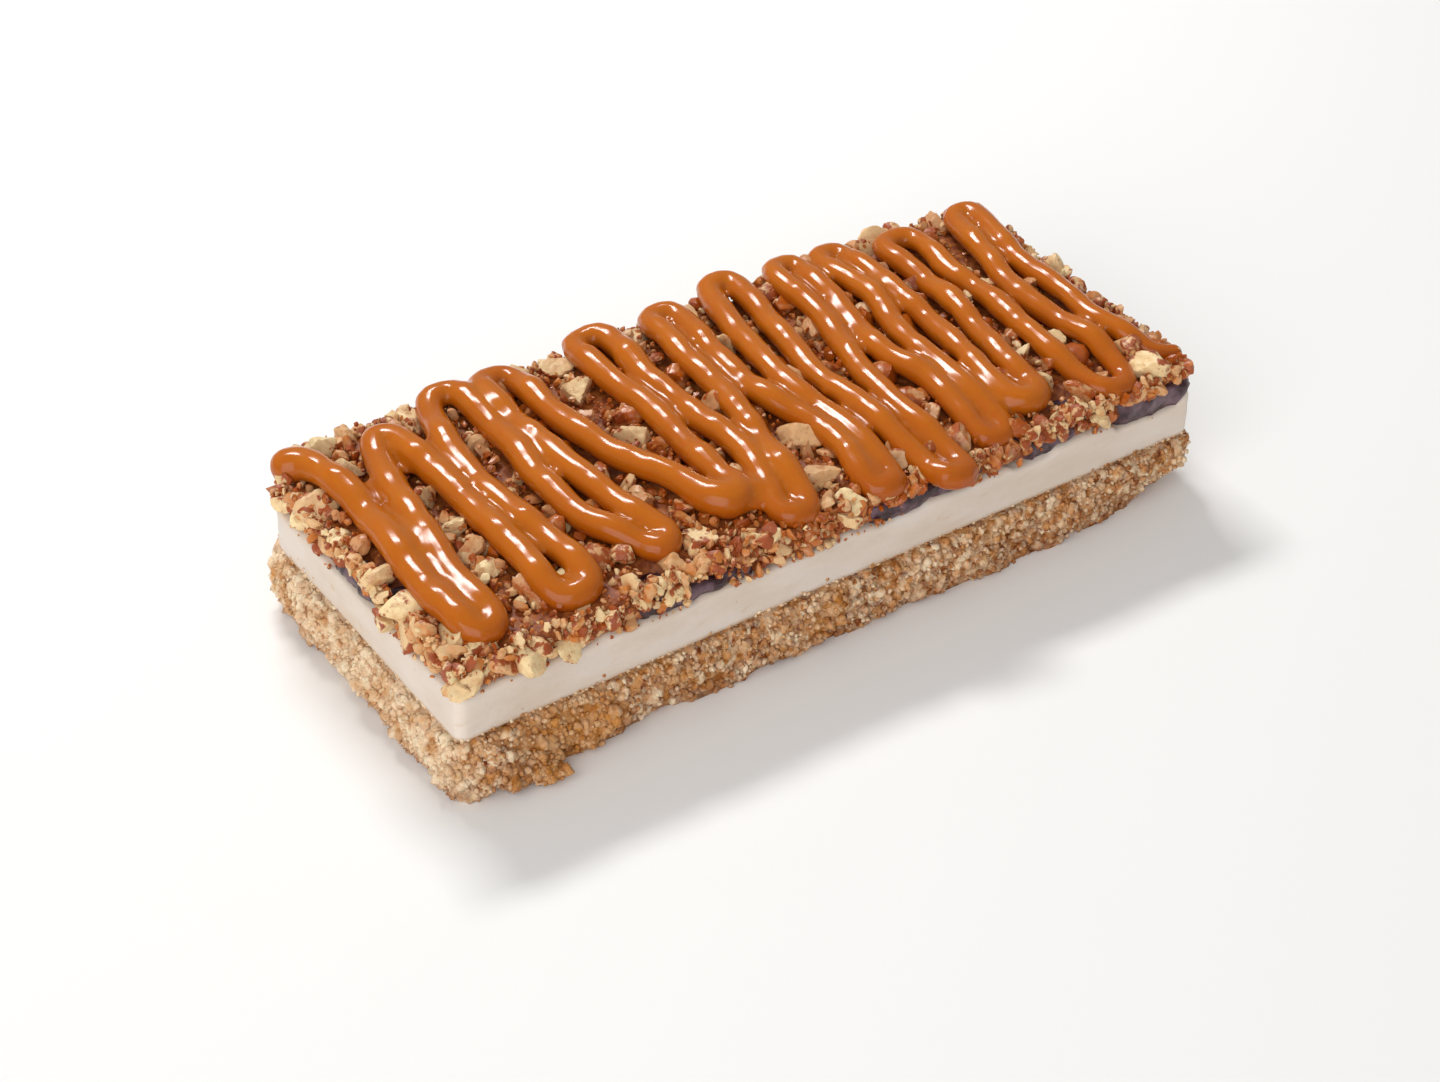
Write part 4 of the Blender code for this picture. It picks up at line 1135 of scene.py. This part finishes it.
# Where the gap between two strands is less than this, caramel ran together across it: more so at
# the left end and round the front turns
WEB_REACHES = (1.0, -0.5)
WEB_LEFT = (-43.0, -38.0)
WEB_FRONT = (-12.0, -17.0)
WEB_FRONT_SHARE = 0.8
WEB_FRONT_END = 40.0
WEB_EASE = 1.2
WEB_SINK = 0.5
WEB_LEAST = 0.5
WEB_RISE = 0.25
WEB_FILL = 0.36
for (spots, heights, radii), (others, _, _) in zip(strands, strands[1:]):
    web = []
    for spot, height, radius in zip(spots, heights, radii):
        nearest = min(others, key=lambda other: (other - spot).length)
        apart = (nearest - spot).length
        front = WEB_FRONT_SHARE * ease(*WEB_FRONT, spot.y) * (spot.x < WEB_FRONT_END)
        rightward = float(ease(*WEB_LEFT, spot.x) * (1.0 - front))
        reach = 2.0 * radius + WEB_REACHES[0] + (WEB_REACHES[1] - WEB_REACHES[0]) * rightward
        close = apart < reach
        if close:
            fill = float(ease(reach, reach - WEB_EASE, apart))
            sunk = height - WEB_SINK * (1.0 - fill)
            rise = radius * (WEB_RISE + WEB_FILL * fill)
            web.append(((spot + nearest) / 2.0, sunk, max(apart / 2.0, WEB_LEAST), rise))
        if (not close or spot is spots[-1]) and len(web) > 2:
            add_tube(*zip(*web))
        if not close:
            web = []
mesh = bpy.data.meshes.new("caramel_rope")
mesh.from_pydata([Vector(point) * MM for point in rope_points], [], rope_faces)
rope = new_object("caramel_rope", mesh)
even_faces(rope, ROPE_FACE)
soften = rope.modifiers.new("soften", "SMOOTH")
soften.factor = 0.5
soften.iterations = ROPE_SOFTENING
apply_modifiers(rope)
move_points(rope.data, inside(points_of(rope.data)[0], "pecan_topping"))
rope.data.shade_smooth()
dress(rope, caramel, "pecan_topping")

# The floor, the light and the camera. A pale matt table under soft studio light from the left and
# behind, with the camera where the photograph was taken from. Sizes here are in metres.
TABLE_WIDTH = 4.0
TABLE_GRAIN = 0.005
TABLE_WHITE = "#F4F3F1"
ROOM_WHITE = "#FFFFFF"
ROOM_STRENGTH = 0.36
matt_table, tree = new_material("matt pale table")
fine = add(tree, "TexNoise", {"Scale": TABLE_WIDTH / TABLE_GRAIN, "Detail": 2.0})
bump = add(tree, "Bump", {"Strength": 0.02}, {"Height": fine})
looks = {"Base Color": linear(TABLE_WHITE), "Roughness": 0.9}
surface = add(tree, "BsdfPrincipled", looks, {"Normal": bump})
add(tree, "OutputMaterial", links={"Surface": surface})
bpy.ops.mesh.primitive_plane_add(size=TABLE_WIDTH, location=(0.0, 0.0, 0.0))
floor = bpy.context.object
floor.name = "table"
floor.data.materials.append(matt_table)

world = bpy.data.worlds.new("studio")
bpy.context.scene.world = world
world.use_nodes = True
world.node_tree.nodes["Background"].inputs["Color"].default_value = linear(ROOM_WHITE)
world.node_tree.nodes["Background"].inputs["Strength"].default_value = ROOM_STRENGTH

# Name, place, width, depth and power: a bright softbox behind, and a wide one at the front left
SOFTBOXES = (
    ("key", (0.05, 0.385, 0.465), 0.25, 0.08, 2.3),
    ("fill", (-0.56, -0.41, 0.41), 0.80, 0.80, 4.6),
)
LIT_SPOT = (0.0, 0.0, 0.01)
for name, spot, width, depth, power in SOFTBOXES:
    lamp = bpy.data.lights.new(name, "AREA")
    lamp.shape = "RECTANGLE"
    lamp.size = width
    lamp.size_y = depth
    lamp.energy = power
    holder = new_object(name, lamp)
    holder.location = spot
    holder.rotation_euler = (Vector(LIT_SPOT) - Vector(spot)).to_track_quat("-Z", "Y").to_euler()

AZIMUTH = math.radians(-35.587)
ELEVATION = math.radians(37.984)
ROLL = math.radians(1.334)
DISTANCE = 0.39785
AIM_HEIGHT = 0.00093193
AIM_LEFT = 0.0021828
AIM_DOWN = 0.0018597
FOCAL_LENGTH = 74.535
SENSOR_WIDTH = 36.0
flat = math.cos(ELEVATION)
back = Vector((math.sin(AZIMUTH) * flat, -math.cos(AZIMUTH) * flat, math.sin(ELEVATION)))
right = (-back).cross(Vector((0.0, 0.0, 1.0))).normalized()
up = right.cross(-back)
right, up = right * math.cos(ROLL) + up * math.sin(ROLL), up * math.cos(ROLL) - right * math.sin(ROLL)
spot = back * DISTANCE - right * AIM_LEFT - up * AIM_DOWN + Vector((0.0, 0.0, AIM_HEIGHT))
lens = bpy.data.cameras.new("camera")
lens.lens = FOCAL_LENGTH
lens.sensor_width = SENSOR_WIDTH
camera = new_object("camera", lens)
camera.matrix_world = Matrix.Translation(spot) @ Matrix((right, up, back)).transposed().to_4x4()
bpy.context.scene.camera = camera
bpy.context.scene.view_settings.view_transform = "Standard"
